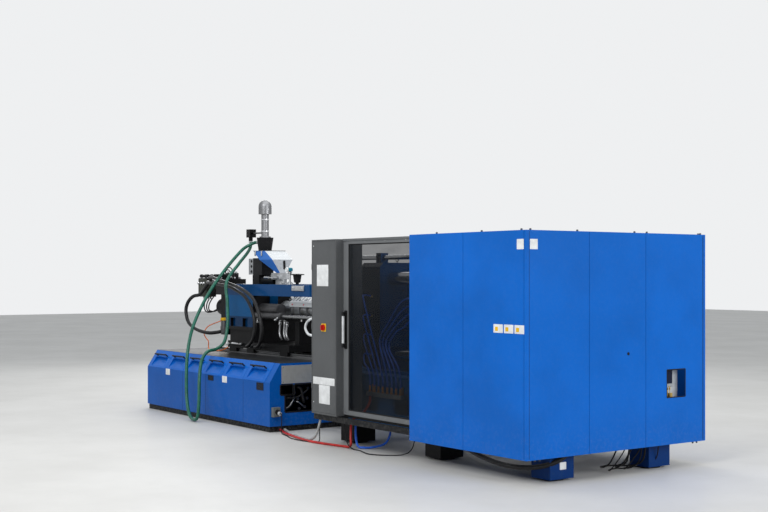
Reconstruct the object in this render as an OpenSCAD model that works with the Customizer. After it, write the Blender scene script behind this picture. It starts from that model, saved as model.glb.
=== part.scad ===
// Horizontal injection moulding machine with a guarded hydraulic clamp.
// X runs from the injection end to the clamp end, the rear side faces -Y and Z is up.
// The origin lies on the floor under the middle of the machine.

/* [Overall] */
// Length from the injection bed's end to the clamp guard's end
machine_length = 7070; // [6900:10:7400]
// Width over the side panels
machine_width = 2090; // [2040:10:2200]
// Height of the injection axis above the floor
axis_z = 1250; // [1230:5:1280]

/* [Guard] */
// Top of the sheet panels
guard_top_z = 2000; // [1980:5:2060]
// Lower edge of the sheet panels
panel_bottom_z = 210; // [180:5:230]
// Depth of a panel's folded edge
panel_depth = 25; // [20:1:30]
// Thickness of the panel sheet
panel_sheet = 3; // [2:0.5:5]
// Gap at the seams between panels
seam_gap = 4; // [2:1:8]
// Length of the closed panels on each side
side_panel_length = 1504; // [1440:4:1560]
// Distance of the side seam from the clamp end
side_seam = 770; // [700:5:850]
// First seam of the end panels, from the rear side
end_seam_a = 680; // [620:5:740]
// Second seam of the end panels, from the rear side
end_seam_b = 1340; // [1280:5:1400]
// Width of the viewing cut-out in the end panel
sight_w = 230; // [180:5:260]
// Height of the viewing cut-out in the end panel
sight_h = 235; // [180:5:260]
// Distance of the cut-out from the rear side
sight_from_rear = 1600; // [1560:5:1640]
// Lower edge of the cut-out
sight_z = 610; // [580:5:640]
// Side of the square frame tube
tube = 50; // [40:1:60]

/* [Doors] */
// Length of the doorway between column and panel
door_length = 1156; // [1100:4:1200]
// Distance of the door behind the panel face
door_setback = 83; // [80:1:90]
// Thickness of a door leaf
door_thickness = 40; // [30:1:45]
// Lower edge of a door leaf
door_bottom_z = 327; // [322:1:340]
// Upper edge of a door leaf
door_top_z = 1985; // [1970:1:1990]
// Width of the door stiles
door_stile = 80; // [60:1:100]
// Width of the door rails
door_rail = 42; // [35:1:60]
// Length of leaf that stays behind the panel
door_overlap = 40; // [20:1:60]
// Thickness of the clear door pane
pane_thickness = 8; // [5:1:10]
// Width of the rebate that holds the pane
pane_rebate = 12; // [8:1:18]
// Length of the door handle
handle_length = 335; // [280:5:380]
// Height of the handle's middle
handle_z = 1132; // [1050:1:1250]

/* [Columns] */
// Length of the electrical column on each side
column_length = 430; // [400:5:460]
// Depth of the electrical column
column_depth = 300; // [260:5:330]
// Lower edge of the column
column_bottom_z = 310; // [304:1:330]
// Upper edge of the column
column_top_z = 1990; // [1960:5:2000]
// Height of the rotary isolator
isolator_z = 1145; // [1000:5:1250]
// Radius of the isolator's knob
isolator_radius = 30; // [20:1:40]
// Reach of the knobs beyond the panel face
knob_reach = 35; // [28:1:45]
// Width of the operator panel
operator_w = 330; // [280:5:360]
// Height of the operator panel
operator_h = 460; // [380:5:520]
// Height of the operator panel's lower edge
operator_z = 1230; // [1150:5:1300]
// Radius of the stop button
stop_radius = 20; // [15:1:24]

/* [Clamp] */
// Height and width of the platens
platen_size = 1040; // [1020:5:1060]
// Distance between tie bar centres
tie_pitch = 730; // [700:5:760]
// Radius of a tie bar
tie_radius = 65; // [55:1:70]
// Bevel of the platens' corners
platen_bevel = 40; // [30:1:50]
// Thickness of the fixed platen
fixed_platen_t = 330; // [300:5:350]
// Thickness of the moving platen
moving_platen_t = 440; // [420:5:470]
// Thickness of the moving platen's mould wall
mould_wall = 140; // [120:5:160]
// Thickness of the moving platen's back wall
back_wall = 60; // [50:1:80]
// Thickness of the cylinder platen
cylinder_platen_t = 330; // [300:5:360]
// Open space between the mould faces at rest
mould_gap = 480; // [440:5:520]
// Space between the moving platen and the cylinder platen at rest
clamp_space = 925; // [880:5:960]
// Radius of the clamp ram
ram_radius = 130; // [110:1:150]
// Outer radius of the clamp cylinder
cylinder_radius = 210; // [195:1:225]
// Radius of the bore that centres the mould
locating_radius = 80; // [60:1:90]
// Depth of the locating bore
locating_depth = 25; // [20:1:40]
// Radius of the mould bolt holes
mould_bolt_r = 10; // [8:1:12]
// Depth of the mould bolt holes
mould_bolt_depth = 45; // [30:1:60]
// Inner spacing of the mould bolt holes
bolt_inner = 280; // [260:5:300]
// Outer spacing of the mould bolt holes
bolt_outer = 490; // [460:5:510]
// Radius of an ejector rod
ejector_r = 20; // [15:1:24]
// Distance of an ejector rod from the axis
ejector_reach = 100; // [90:1:120]
// Thickness of the ejector plate
ejector_plate_t = 30; // [25:1:40]
// Radius of the safety bar
safety_bar_r = 24; // [20:1:30]
// Distance of the safety bar from the axis plane
safety_bar_y = 330; // [310:5:360]

/* [Clamp bed] */
// Half width of the clamp bed
bed_half = 701; // [690:1:710]
// Width of a bed beam
beam_w = 260; // [240:5:280]
// Height of the beam's underside
beam_z = 200; // [180:5:230]
// Wall thickness of the welded beams
beam_wall = 25; // [15:1:40]
// Height of the slide ways
way_t = 30; // [20:1:40]
// Distance of the bed's end from the clamp end
bed_inset = 100; // [80:5:130]
// Length of a leg
leg_length = 220; // [180:5:260]
// Thickness of the levelling pads
pad_t = 15; // [10:1:25]

/* [Injection bed] */
// Length of the injection bed
injection_bed_length = 2970; // [2900:10:3040]
// Half width of the injection bed
cabinet_half = 925; // [900:5:940]
// Distance of the hydraulic pump from the rear side
pump_inset = 260; // [250:5:270]
// Height of the hydraulic pump's axis
pump_z = 290; // [280:5:300]
// Lower edge of the opening at the bed's end
hatch_z = 205; // [200:1:210]
// Reach of the end's bare plate and opening from the rear side
end_plate_reach = 530; // [520:5:540]
// Height of the end's bare plate
end_plate_h = 190; // [170:5:195]
// Height of the black plinth
plinth_h = 60; // [50:1:80]
// Height where the side starts to slope
slope_z = 520; // [490:5:540]
// Inward run of the sloping side
slope_run = 130; // [110:5:150]
// Height of the bed's top
cabinet_top_z = 720; // [700:5:735]
// Thickness of the cabinet's sheet
cabinet_sheet = 4; // [3:0.5:6]
// Thickness of the bed's top plate
deck_t = 20; // [15:1:30]
// Number of lift-off covers on each side
cover_count = 6; // [5:1:7]
// Length of one cover
cover_pitch = 475; // [440:1:485]
// Thickness of a cover
cover_t = 3; // [2:0.5:4]
// Length of a bow handle
bow_length = 300; // [260:5:330]
// Radius of a bow handle
bow_r = 9; // [7:1:12]

/* [Injection unit] */
// Distance of the housing from the bed's clamp end
housing_offset = 1400; // [1360:5:1440]
// Length of the injection housing
housing_length = 655; // [620:5:690]
// Half width of the injection housing
housing_half = 330; // [320:1:345]
// Top of the injection housing
housing_top_z = 1410; // [1395:1:1425]
// Outer radius of the barrel
barrel_radius = 85; // [80:1:92]
// Radius of the screw
screw_radius = 40; // [32:1:45]
// Radial running fit of the screw
screw_fit = 0.1; // [0.05:0.01:0.1]
// Outer radius of a heater band
band_radius = 100; // [96:1:108]
// Length of a heater band
band_length = 260; // [220:5:300]
// Number of heater bands
band_count = 7; // [5:1:7]
// Length of the nozzle
nozzle_length = 220; // [200:5:240]
// Distance of the injection cylinders from the axis
cylinder_y = 195; // [190:1:205]
// Outer radius of an injection cylinder
inj_cyl_radius = 68; // [60:1:72]
// Radius of an injection cylinder's rod
inj_rod_r = 30; // [24:1:36]
// Gap between housing and thrust plate at rest
thrust_gap = 145; // [130:5:160]
// Thickness of the thrust plate
thrust_t = 120; // [100:5:140]
// Radius of the screw motor
motor_radius = 135; // [120:1:150]
// Length of the screw motor
motor_length = 400; // [360:5:440]
// Half width over the long side beams
side_beam_outer = 330; // [320:1:340]
// Reach of the side beams past the housing
side_beam_reach = 1240; // [1200:10:1240]
// Reach of the injection cylinders' rods past the housing
inj_rod_reach = 365; // [360:1:370]
// Reach of the carriage base past the housing
base_reach = 760; // [740:10:780]
// Distance of the barrel cover from the housing
cover_setback = 600; // [590:10:610]
// Length of the barrel cover
cover_length = 600; // [580:10:610]
// Width of a side beam
side_beam_w = 62; // [50:1:65]
// Height of a side beam
side_beam_h = 132; // [110:1:150]
// Distance of the slide rails from the axis
rail_y = 250; // [230:1:270]
// Height of a slide rail
rail_h = 50; // [40:1:55]
// Width of a slide rail
rail_w = 45; // [35:1:55]
// Length of a carriage cylinder
carriage_cyl_l = 620; // [600:10:640]
// Radius of a carriage cylinder
carriage_cyl_r = 42; // [38:1:46]
// Radius of a carriage rod
carriage_rod_r = 22; // [18:1:26]
// Distance of the carriage rods from the axis
carriage_rod_y = 296; // [285:1:305]
// Depth of the carriage rods below the axis
carriage_rod_drop = 70; // [60:1:80]

/* [Feed] */
// Distance of the feed throat from the housing's front
throat_reach = 93; // [90:1:96]
// Length of the housing's neck under the feed throat
neck_length = 185; // [180:1:190]
// Half width of the neck
neck_half = 100; // [90:1:110]
// Side of the throat block
throat_w = 170; // [150:5:190]
// Height of the throat block
throat_h = 264; // [240:2:280]
// Radius of the feed bore
feed_r = 32; // [25:1:36]
// Height of the hopper's funnel
funnel_h = 156; // [130:2:180]
// Height of the hopper's bevelled rim
rim_h = 105; // [80:1:120]
// Half width of the hopper
hopper_half = 138; // [130:1:145]
// Reach of the rim's top edge towards the injection end
rim_back = 408; // [400:1:415]
// Reach of the funnel's top edge towards the injection end
funnel_back = 268; // [260:1:275]
// Reach of the funnel's top edge towards the clamp end
funnel_front = 30; // [25:1:35]
// Distance of the rim's bevelled side behind the outlet
rim_inset = 143; // [135:1:150]
// Thickness of the hopper's sheet
hopper_sheet = 3; // [2:0.5:4]
// Height of the loader's cup
cup_h = 155; // [130:1:180]
// Radius of the loader's cup at its top
cup_top_r = 100; // [90:1:110]
// Radius of the loader's cup at its foot
cup_foot_r = 78; // [70:1:85]
// Radius of the loader's tube
loader_r = 45; // [38:1:52]
// Radius of the loader's head
head_r = 78; // [70:1:85]
// Height of the loader's head above the cup
head_rise = 300; // [260:5:320]

/* [Hoses] */
// Radius of the green material hose
material_hose_r = 19; // [16:1:20]
// Radius of the black pressure hoses
pressure_hose_r = 19; // [16:1:20]

/* [Hidden] */
$fn = 48;
// Small clearance between pieces of different bodies
gap = 0.3;
// Running fit of rods and pins in their bores
fit = 0.1;
// Overcut that lets a cut pass a face
cut = 1;
blue = "#1f5fc4";
light_grey = "#b9bcc0";
grey = "#5b5d5f";
steel = "#a9adb2";
black = "#1d1e20";
brass = "#c79a3e";

// Places along the machine
end_x = machine_length / 2;
side_y = machine_width / 2;
panel_x = end_x - side_panel_length;
door_x = panel_x - door_length;
column_x = door_x - column_length;
panel_in_y = side_y - panel_depth;
tube_in_y = panel_in_y - tube;
frame_end_x = end_x - panel_depth;
platen_inset = 20;
fixed_face_x = door_x - platen_inset;
fixed_back_x = fixed_face_x - fixed_platen_t;
moving_face_x = fixed_face_x + mould_gap;
moving_back_x = moving_face_x + moving_platen_t;
cylinder_face_x = moving_back_x + clamp_space;
cylinder_back_x = cylinder_face_x + cylinder_platen_t;
bed_end_x = end_x - bed_inset;
platen_low_z = axis_z - platen_size / 2;
bed_top_z = platen_low_z - way_t;
ring_z = panel_bottom_z + 40;
ring_top_z = guard_top_z - 15;
outrigger_x = [column_x + 100, panel_x, bed_end_x - 250];

// Doors and their rails
door_out_y = side_y - door_setback;
door_in_y = door_out_y - door_thickness;
rail_end_x = frame_end_x - tube;

// Knobs and the operator panel
shaft_r = 6;
operator_seat = 60;
operator_proud = 12;
stop_stem_r = 11;

// Travel that the fitting pieces are made for
close_travel = 180;
open_travel = 350;
ejector_travel = 150;
retract_travel = 250;

// Clamp cylinder: the ram stays in its gland when closed and clears the cap when open
nut_t = 90;
gland = 150;
cap_t = 60;
cylinder_front_x = cylinder_face_x - 60;
ram_end_x = cylinder_front_x + gland + close_travel - 10;
cylinder_end_x = ram_end_x + open_travel + 10 + cap_t;

// Hinge of the hood over the nozzle
guard_rise = 250;
hinge_reach = 20;
hinge_pin_r = 8;

// Places along the injection unit
cabinet_x0 = -end_x;
cabinet_x1 = cabinet_x0 + injection_bed_length;
housing_x1 = cabinet_x1 - housing_offset;
housing_x0 = housing_x1 - housing_length;
thrust_x1 = housing_x0 - thrust_gap;
thrust_x0 = thrust_x1 - thrust_t;
motor_x0 = thrust_x0 - motor_length;
nozzle_tip_x = fixed_face_x - 75;
barrel_x1 = nozzle_tip_x - nozzle_length;
barrel_x0 = housing_x0 + 20;
throat_x = housing_x1 + throat_reach;
rail_top_z = cabinet_top_z + rail_h;
base_z = rail_top_z + 12;
base_t = 78;
base_x0 = housing_x0;
base_x1 = housing_x1 + base_reach;
saddle_l = 90;
bands_x0 = housing_x1 + neck_length + 30;
band_step = (barrel_x1 - 30 - bands_x0) / band_count;
motor_shaft_r = 24;
inj_bore_r = 52;
rod_nut_t = 40;

// Hinged roof over the barrel
lug_t = 20;
cover_x0 = housing_x1 + cover_setback;
cover_hinge_y = 216;
cover_hinge_z = axis_z + 70;
cover_lug_x = [cover_x0 + 60, cover_x0 + cover_length - 60 - lug_t];

// Sloping side of the injection bed with its covers
slope_angle = atan2(cabinet_top_z - slope_z, slope_run);
slope_length = norm([slope_run, cabinet_top_z - slope_z]);
cover_x1 = cabinet_x1 - 105;
pocket_w = bow_length + 40;
pocket_low = 25;
pocket_high = 150;
pocket_depth = 32;

// Hopper, its gate and the loader on its lid
gate_z = housing_top_z + throat_h - 60;
gate_t = 12;
gate_half = 55;
hopper_z = housing_top_z + throat_h;
cup_z = hopper_z + funnel_h + rim_h + 4;
cup_x = throat_x - 288;
cup_y = -50;
coupling_x = cup_x - 330;
coupling_z = cup_z + cup_h + 60;

// A box between two opposite corners
module block(a, b) {
  translate(a) cube(b - a);
}

// A round bar along X
module bar_x(x0, x1, r) {
  translate([x0, 0, 0]) rotate([0, 90, 0]) cylinder(r = r, h = x1 - x0);
}

// A round bar along the machine at a height
module bar_x_at(x0, x1, z, r) {
  translate([0, 0, z]) bar_x(x0, x1, r);
}

// A round bar along Y
module bar_y(y0, y1, r) {
  translate([0, y0, 0]) rotate([-90, 0, 0]) cylinder(r = r, h = y1 - y0);
}

// The same on the front side and the rear side
module both_sides() {
  children();
  mirror([0, 1, 0]) children();
}

// Children at the four tie bar centres
module at_tie_bars() {
  for (sy = [-1, 1], sz = [-1, 1])
    translate([0, sy * tie_pitch / 2, axis_z + sz * tie_pitch / 2]) children();
}

// Children at the corners of the mould bolt grid
module at_mould_bolts() {
  steps = [-bolt_outer / 2, -bolt_inner / 2, bolt_inner / 2, bolt_outer / 2];
  for (y = steps, z = steps) translate([0, y, axis_z + z]) children();
}

// A platen blank with bevelled corners
module platen_blank(x0, x1, size, bevel) {
  h = size / 2;
  b = h - bevel;
  translate([x0, 0, axis_z]) rotate([90, 0, 90]) linear_extrude(x1 - x0)
    polygon([[-b, -h], [b, -h], [h, -b], [h, b], [b, h], [-b, h], [-h, b], [-h, -b]]);
}

// A sheet tray: a face plate with folded edges, seen from -Y, back side open
module tray(length, height) {
  difference() {
    cube([length, panel_depth, height]);
    translate([panel_sheet, panel_sheet, panel_sheet])
      cube([length - 2 * panel_sheet, panel_depth, height - 2 * panel_sheet]);
  }
}

// Welded base of the clamp with legs, slide ways and the link to the injection bed
module clamp_bed() {
  beam_x0 = column_x;
  cross_t = 90;
  link_half = 380;
  color(blue) {
    difference() {
      union() {
        both_sides() {
          block([beam_x0, bed_half - beam_w, beam_z], [bed_end_x, bed_half, bed_top_z]);
          block([fixed_back_x - 20, bed_half - beam_w, bed_top_z],
                [cylinder_back_x + 20, platen_size / 2, platen_low_z]);
          block([cabinet_x1, link_half - 200, beam_z + 20],
                [beam_x0 + cross_t, link_half, bed_top_z - 60]);
          for (x = [beam_x0, panel_x - leg_length, bed_end_x - leg_length])
            block([x, bed_half - beam_w, pad_t], [x + leg_length, bed_half, beam_z]);
        }
        for (x = [beam_x0, cylinder_face_x, bed_end_x - cross_t])
          block([x, -bed_half + beam_w, beam_z], [x + cross_t, bed_half - beam_w, bed_top_z]);
      }
      both_sides() {
        block([beam_x0 + beam_wall, bed_half - beam_w + beam_wall, beam_z + beam_wall],
              [bed_end_x - beam_wall, bed_half - beam_wall, bed_top_z - beam_wall]);
        for (i = [0:3])
          beam_window(beam_x0 + 180 + i * (bed_end_x - beam_x0 - 240) / 4);
      }
    }
  }
}

// One lightening window in the outer web of a beam
module beam_window(x) {
  window_w = 460;
  window_h = 200;
  window_r = 60;
  z = (beam_z + bed_top_z - window_h) / 2;
  translate([x, bed_half - beam_wall - cut, z]) rotate([-90, 0, 0]) mirror([0, 1, 0])
    linear_extrude(beam_wall + 2 * cut) {
      translate([window_r, 0]) square([window_w - 2 * window_r, window_h]);
      translate([0, window_r]) square([window_w, window_h - 2 * window_r]);
      for (u = [window_r, window_w - window_r], v = [window_r, window_h - window_r])
        translate([u, v]) circle(window_r);
    }
}

// Round pads under the legs
module levelling_pads() {
  pad_r = 90;
  color(black) both_sides()
    for (x = [column_x, panel_x - leg_length, bed_end_x - leg_length])
      translate([x + leg_length / 2, bed_half - beam_w / 2, 0]) cylinder(r = pad_r, h = pad_t);
}

// Mould side platen that the tie bars are anchored in
module fixed_platen() {
  pocket_r = 155;
  pocket_depth = 200;
  passage_r = 45;
  lug_y = 150;
  color(blue) difference() {
    union() {
      platen_blank(fixed_back_x, fixed_face_x, platen_size, platen_bevel);
      translate([fixed_back_x + 60, -safety_bar_y, axis_z + platen_size / 2 - cut])
        block([0, -45, 0], [80, 45, safety_bar_r + 75]);
      for (s = [-1, 1]) translate([fixed_back_x, s * lug_y - 10, axis_z + guard_rise])
        rotate([-90, 0, 0]) linear_extrude(20) {
          translate([-hinge_reach, 0]) circle(16);
          translate([-hinge_reach, -16]) square([hinge_reach + cut, 32]);
        }
    }
    at_tie_bars() bar_x(fixed_back_x - cut, fixed_face_x + cut, tie_radius + fit);
    translate([0, 0, axis_z]) {
      bar_x(fixed_back_x - cut, fixed_back_x + pocket_depth, pocket_r);
      bar_x(fixed_back_x, fixed_face_x + cut, passage_r);
      bar_x(fixed_face_x - locating_depth, fixed_face_x + cut, locating_radius);
    }
    at_mould_bolts() bar_x(fixed_face_x - mould_bolt_depth, fixed_face_x + cut, mould_bolt_r);
    translate([0, -safety_bar_y, safety_z()])
      bar_x(fixed_back_x, fixed_face_x, safety_bar_r + 2);
    translate([0, 0, axis_z + guard_rise]) translate([fixed_back_x - hinge_reach, 0, 0])
      bar_y(-lug_y - 20, lug_y + 20, hinge_pin_r + fit);
  }
}

// Height of the safety bar over the platens
function safety_z() = axis_z + platen_size / 2 + safety_bar_r + 30;

// Cast platen with a chamber for the ejector and bosses round the tie bars
module moving_platen() {
  chamber_half = 200;
  side_half = 220;
  rib = 60;
  x0 = moving_face_x;
  x1 = moving_back_x;
  h = platen_size / 2 + cut;
  color(blue) difference() {
    union() {
      platen_blank(x0, x1, platen_size - 2 * gap, platen_bevel);
      translate([x0 + 160, -safety_bar_y, axis_z + platen_size / 2 - cut])
        block([0, -45, 0], [90, 45, safety_bar_r + 75]);
    }
    block([x0 + mould_wall, -chamber_half, axis_z - h],
          [x1 - back_wall, chamber_half, axis_z + h]);
    both_sides() block([x0 + mould_wall, chamber_half + rib, axis_z - side_half],
                       [x1 + cut, h, axis_z + side_half]);
    at_tie_bars() bar_x(x0 - cut, x1 + cut, tie_radius + fit);
    at_mould_bolts() bar_x(x0 - cut, x0 + mould_bolt_depth, mould_bolt_r);
    at_ejector_rods() bar_x(x0 - cut, x0 + mould_wall + cut, ejector_r + fit);
    at_ejector_cylinders() bar_x(x1 - back_wall - cut, x1 + cut, ejector_r + fit);
    translate([0, -safety_bar_y, safety_z()]) bar_x(x0, x1, safety_bar_r);
  }
}

// Children at the ejector rods
module at_ejector_rods() {
  for (a = [0:90:270])
    translate([0, ejector_reach * cos(a), axis_z + ejector_reach * sin(a)]) children();
}

// Children at the two ejector cylinders
module at_ejector_cylinders() {
  for (s = [-1, 1]) translate([0, 0, axis_z + s * 300]) children();
}

// Rear platen that carries the clamp cylinder
module cylinder_platen() {
  color(blue) difference() {
    platen_blank(cylinder_face_x, cylinder_back_x, platen_size, platen_bevel);
    at_tie_bars() bar_x(cylinder_face_x - cut, cylinder_back_x + cut, tie_radius + fit);
    translate([0, 0, axis_z])
      bar_x(cylinder_face_x - cut, cylinder_back_x + cut, cylinder_radius + fit);
  }
}

// Four polished bars that guide the moving platen and carry the clamp force
module tie_bars() {
  color(steel) at_tie_bars() bar_x(fixed_back_x - nut_t - 15, cylinder_back_x + nut_t + 15, tie_radius);
}

// Split nuts at both ends of the tie bars
module tie_bar_nuts() {
  nut_r = 98;
  slot_w = 14;
  color(black) at_tie_bars() for (x = [fixed_back_x - nut_t, cylinder_back_x]) difference() {
    bar_x(x, x + nut_t, nut_r);
    bar_x(x - cut, x + nut_t + cut, tie_radius + fit);
    block([x - cut, -nut_r - cut, -slot_w / 2], [x + nut_t + cut, -nut_r + 20, slot_w / 2]);
  }
}

// Clamp cylinder with its flange and end cap
module clamp_cylinder() {
  flange_r = 275;
  flange_t = 50;
  chamber_r = ram_radius + 22;
  color(grey) difference() {
    translate([0, 0, axis_z]) union() {
      bar_x(cylinder_front_x, cylinder_end_x, cylinder_radius);
      bar_x(cylinder_back_x, cylinder_back_x + flange_t, flange_r);
      bar_x(cylinder_end_x, cylinder_end_x + 45, cylinder_radius - 60);
      for (a = [15:30:345]) rotate([a, 0, 0]) translate([0, flange_r - 28, 0])
        bar_x(cylinder_back_x + flange_t, cylinder_back_x + flange_t + 22, 17, $fn = 6);
    }
    translate([0, 0, axis_z]) {
      bar_x(cylinder_front_x - cut, cylinder_front_x + gland + cut, ram_radius + fit);
      bar_x(cylinder_front_x + gland, cylinder_end_x - cap_t, chamber_r);
    }
  }
}

// Hollow chrome ram with the flange that bolts to the moving platen
module clamp_ram() {
  flange_r = 190;
  flange_t = 45;
  color(steel) translate([0, 0, axis_z]) difference() {
    union() {
      bar_x(moving_back_x, ram_end_x, ram_radius);
      bar_x(moving_back_x, moving_back_x + flange_t, flange_r);
      for (a = [22.5:45:360]) rotate([a, 0, 0]) translate([0, flange_r - 26, 0])
        bar_x(moving_back_x + flange_t, moving_back_x + flange_t + 18, 15, $fn = 6);
    }
    bar_x(moving_back_x + 80, ram_end_x + cut, ram_radius - 45);
  }
}

// Ejector plate with the four rods that push through the mould wall
module ejector_plate() {
  half_y = 190;
  half_z = 350;
  x1 = moving_back_x - back_wall - gap;
  color(steel) {
    block([x1 - ejector_plate_t, -half_y, axis_z - half_z], [x1, half_y, axis_z + half_z]);
    at_ejector_rods() bar_x(moving_face_x + 5, x1 - ejector_plate_t, ejector_r);
    at_ejector_cylinders() bar_x(x1, moving_back_x + ejector_travel + 15, ejector_r);
  }
}

// Two short cylinders that drive the ejector plate
module ejector_cylinders() {
  body_r = 48;
  body_l = 190;
  color(black) at_ejector_cylinders() difference() {
    union() {
      bar_x(moving_back_x, moving_back_x + body_l, body_r);
      translate([moving_back_x, -62, -62]) cube([20, 124, 124]);
    }
    bar_x(moving_back_x - cut, moving_back_x + body_l - 12, ejector_r + fit);
  }
}

// Notched bar that blocks the platen when a door is open
module safety_bar() {
  x0 = fixed_back_x - close_travel - 195;
  x1 = moving_face_x + 160 + 90 + 30;
  notch = 14;
  pitch = 60;
  color(steel) translate([0, -safety_bar_y, safety_z()]) difference() {
    bar_x(x0, x1, safety_bar_r);
    for (x = [fixed_face_x + 120:pitch:moving_face_x + 40])
      translate([x, -safety_bar_r, safety_bar_r - notch / 2]) cube([22, 2 * safety_bar_r, notch]);
  }
}

// Square tube frame that carries the panels and the door headers
module guard_frame() {
  z0 = ring_z;
  z1 = ring_top_z;
  color(grey) {
    both_sides() {
      block([column_x, tube_in_y, z0], [frame_end_x, panel_in_y, z0 + tube]);
      block([panel_x, tube_in_y, z1 - tube], [frame_end_x, panel_in_y, z1]);
      for (x = [panel_x, end_x - side_seam - tube / 2, frame_end_x - tube])
        block([x, tube_in_y, z0], [x + tube, panel_in_y, z1]);
      for (x = outrigger_x)
        block([x, bed_half, z0], [x + tube, tube_in_y, z0 + tube]);
    }
    for (z = [z0, z1 - tube])
      block([frame_end_x - tube, -tube_in_y, z], [frame_end_x, tube_in_y, z + tube]);
    for (w = [end_seam_a, end_seam_b])
      block([frame_end_x - tube, w - side_y - tube / 2, z0],
            [frame_end_x, w - side_y + tube / 2, z1]);
  }
}

// Closed panels of one side, from the doorway to the clamp end
module side_panels() {
  height = guard_top_z - panel_bottom_z;
  seam_x = end_x - side_seam;
  for (span = [[panel_x, seam_x - seam_gap / 2], [seam_x + seam_gap / 2, end_x - panel_depth - seam_gap]])
    translate([span[0], -side_y, panel_bottom_z]) tray(span[1] - span[0], height);
}

// Panels on the rear side
module rear_side_panels() {
  color(blue) side_panels();
}

// Panels on the operator's side
module front_side_panels() {
  color(blue) mirror([0, 1, 0]) side_panels();
}

// Three panels across the clamp end, one with the viewing cut-out
module end_panels() {
  height = guard_top_z - panel_bottom_z;
  edges = [0, end_seam_a, end_seam_b, machine_width];
  color(blue) difference() {
    for (i = [0:2]) {
      w0 = edges[i] + (i == 0 ? 0 : seam_gap / 2);
      w1 = edges[i + 1] - (i == 2 ? 0 : seam_gap / 2);
      translate([end_x, w0 - side_y, panel_bottom_z]) rotate([0, 0, 90]) tray(w1 - w0, height);
    }
    translate([frame_end_x - cut, sight_from_rear - side_y, sight_z])
      cube([panel_depth + 2 * cut, sight_w, sight_h]);
  }
}

// Central lubrication pump behind the viewing cut-out
module lubrication_unit() {
  y0 = sight_from_rear - side_y - 20;
  z0 = sight_z - 90;
  plate_t = 12;
  x0 = bed_end_x;
  color(light_grey) {
    block([x0, y0 - 90, z0], [x0 + plate_t, y0 + 250, z0 + 370]);
    block([x0 + plate_t, y0 + 30, z0 + 200], [x0 + 52, y0 + 140, z0 + 330]);
    block([x0 + plate_t, y0 + 30, z0 + 120], [x0 + 46, y0 + 170, z0 + 170]);
    translate([x0 + plate_t + 22, y0 + 80, z0 + 170]) cylinder(r = 20, h = 30);
    translate([x0 + plate_t + 22, y0 + 135, z0 + 20]) cylinder(r = 18, h = 100);
    translate([x0 + plate_t + 22, y0 + 75, z0 + 40]) cylinder(r = 14, h = 80);
  }
}

// Distribution bar for cooling water on the rear side of the bed
module water_manifold() {
  bar_w = 40;
  z = 500;
  x0 = door_x + 90;
  length = 560;
  count = 8;
  step = length / count;
  y1 = -bed_half;
  color(steel) {
    block([x0, y1 - 20 - bar_w, z], [x0 + length, y1 - 20, z + bar_w]);
    for (x = [x0 + 40, x0 + length - 70]) block([x, y1 - 20, z + 5], [x + 30, y1, z + 110]);
  }
  color(brass) for (i = [0:count - 1])
    translate([x0 + (i + 0.5) * step, y1 - 20 - bar_w / 2, z + bar_w]) {
      cylinder(r = 13, h = 16, $fn = 6);
      cylinder(r = 8, h = 62);
      translate([0, 0, 30]) cylinder(r = 11, h = 20);
    }
}

// Bottom rail and header channel that guide a door
module side_rails() {
  header_wall = 3;
  header_in_y = door_in_y - 7;
  header_z0 = door_top_z - 13;
  header_z1 = door_top_z + 7;
  middle_y = (door_out_y + door_in_y) / 2;
  block([door_x + gap, -middle_y - 8, ring_z + tube], [rail_end_x, -middle_y + 8, door_bottom_z - gap]);
  difference() {
    block([door_x, -tube_in_y, header_z0], [rail_end_x, -header_in_y, header_z1]);
    block([door_x - cut, -tube_in_y + header_wall, header_z0 - cut],
          [rail_end_x + cut, -header_in_y - header_wall, header_z1 - header_wall]);
  }
}

// Door rails on both sides
module door_rails() {
  color(grey) {
    side_rails();
    mirror([0, 1, 0]) side_rails();
  }
}

// Sliding door leaf with its window opening and the rebate for the pane
module door_leaf() {
  x0 = door_x + 3;
  x1 = panel_x + door_overlap;
  lip = door_thickness - pane_thickness - 12;
  difference() {
    block([x0, -door_out_y, door_bottom_z], [x1, -door_in_y, door_top_z]);
    block([x0 + door_stile, -door_out_y - cut, door_bottom_z + door_rail],
          [x1 - door_stile, -door_in_y + cut, door_top_z - door_rail]);
    block([x0 + door_stile - pane_rebate, -door_out_y + 12, door_bottom_z + door_rail - pane_rebate],
          [x1 - door_stile + pane_rebate, -door_in_y + cut, door_top_z - door_rail + pane_rebate]);
  }
}

// Clear pane of a door, seated in the rebate
module door_pane() {
  x0 = door_x + 3 + door_stile - pane_rebate;
  x1 = panel_x + door_overlap - door_stile + pane_rebate;
  block([x0, -door_out_y + 12, door_bottom_z + door_rail - pane_rebate],
        [x1, -door_out_y + 12 + pane_thickness, door_top_z - door_rail + pane_rebate]);
}

// Bar handle on two brackets
module door_handle() {
  x = door_x + 3 + door_stile / 2;
  grip_out = 46;
  bracket_h = 38;
  z0 = handle_z - handle_length / 2;
  for (z = [z0, z0 + handle_length - bracket_h])
    block([x - 13, -door_out_y - grip_out + 8, z], [x + 13, -door_out_y, z + bracket_h]);
  translate([x, -door_out_y - grip_out + 14, z0 + 8]) cylinder(r = 13, h = handle_length - 16);
}

// Leaf of the rear door
module rear_door() {
  color(grey) door_leaf();
}

// Pane of the rear door
module rear_door_pane() {
  color("#20262c") door_pane();
}

// Handle of the rear door
module rear_door_handle() {
  color(light_grey) door_handle();
}

// Leaf of the operator's door
module front_door() {
  color(grey) mirror([0, 1, 0]) door_leaf();
}

// Pane of the operator's door
module front_door_pane() {
  color("#20262c") mirror([0, 1, 0]) door_pane();
}

// Handle of the operator's door
module front_door_handle() {
  color(light_grey) mirror([0, 1, 0]) door_handle();
}

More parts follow.
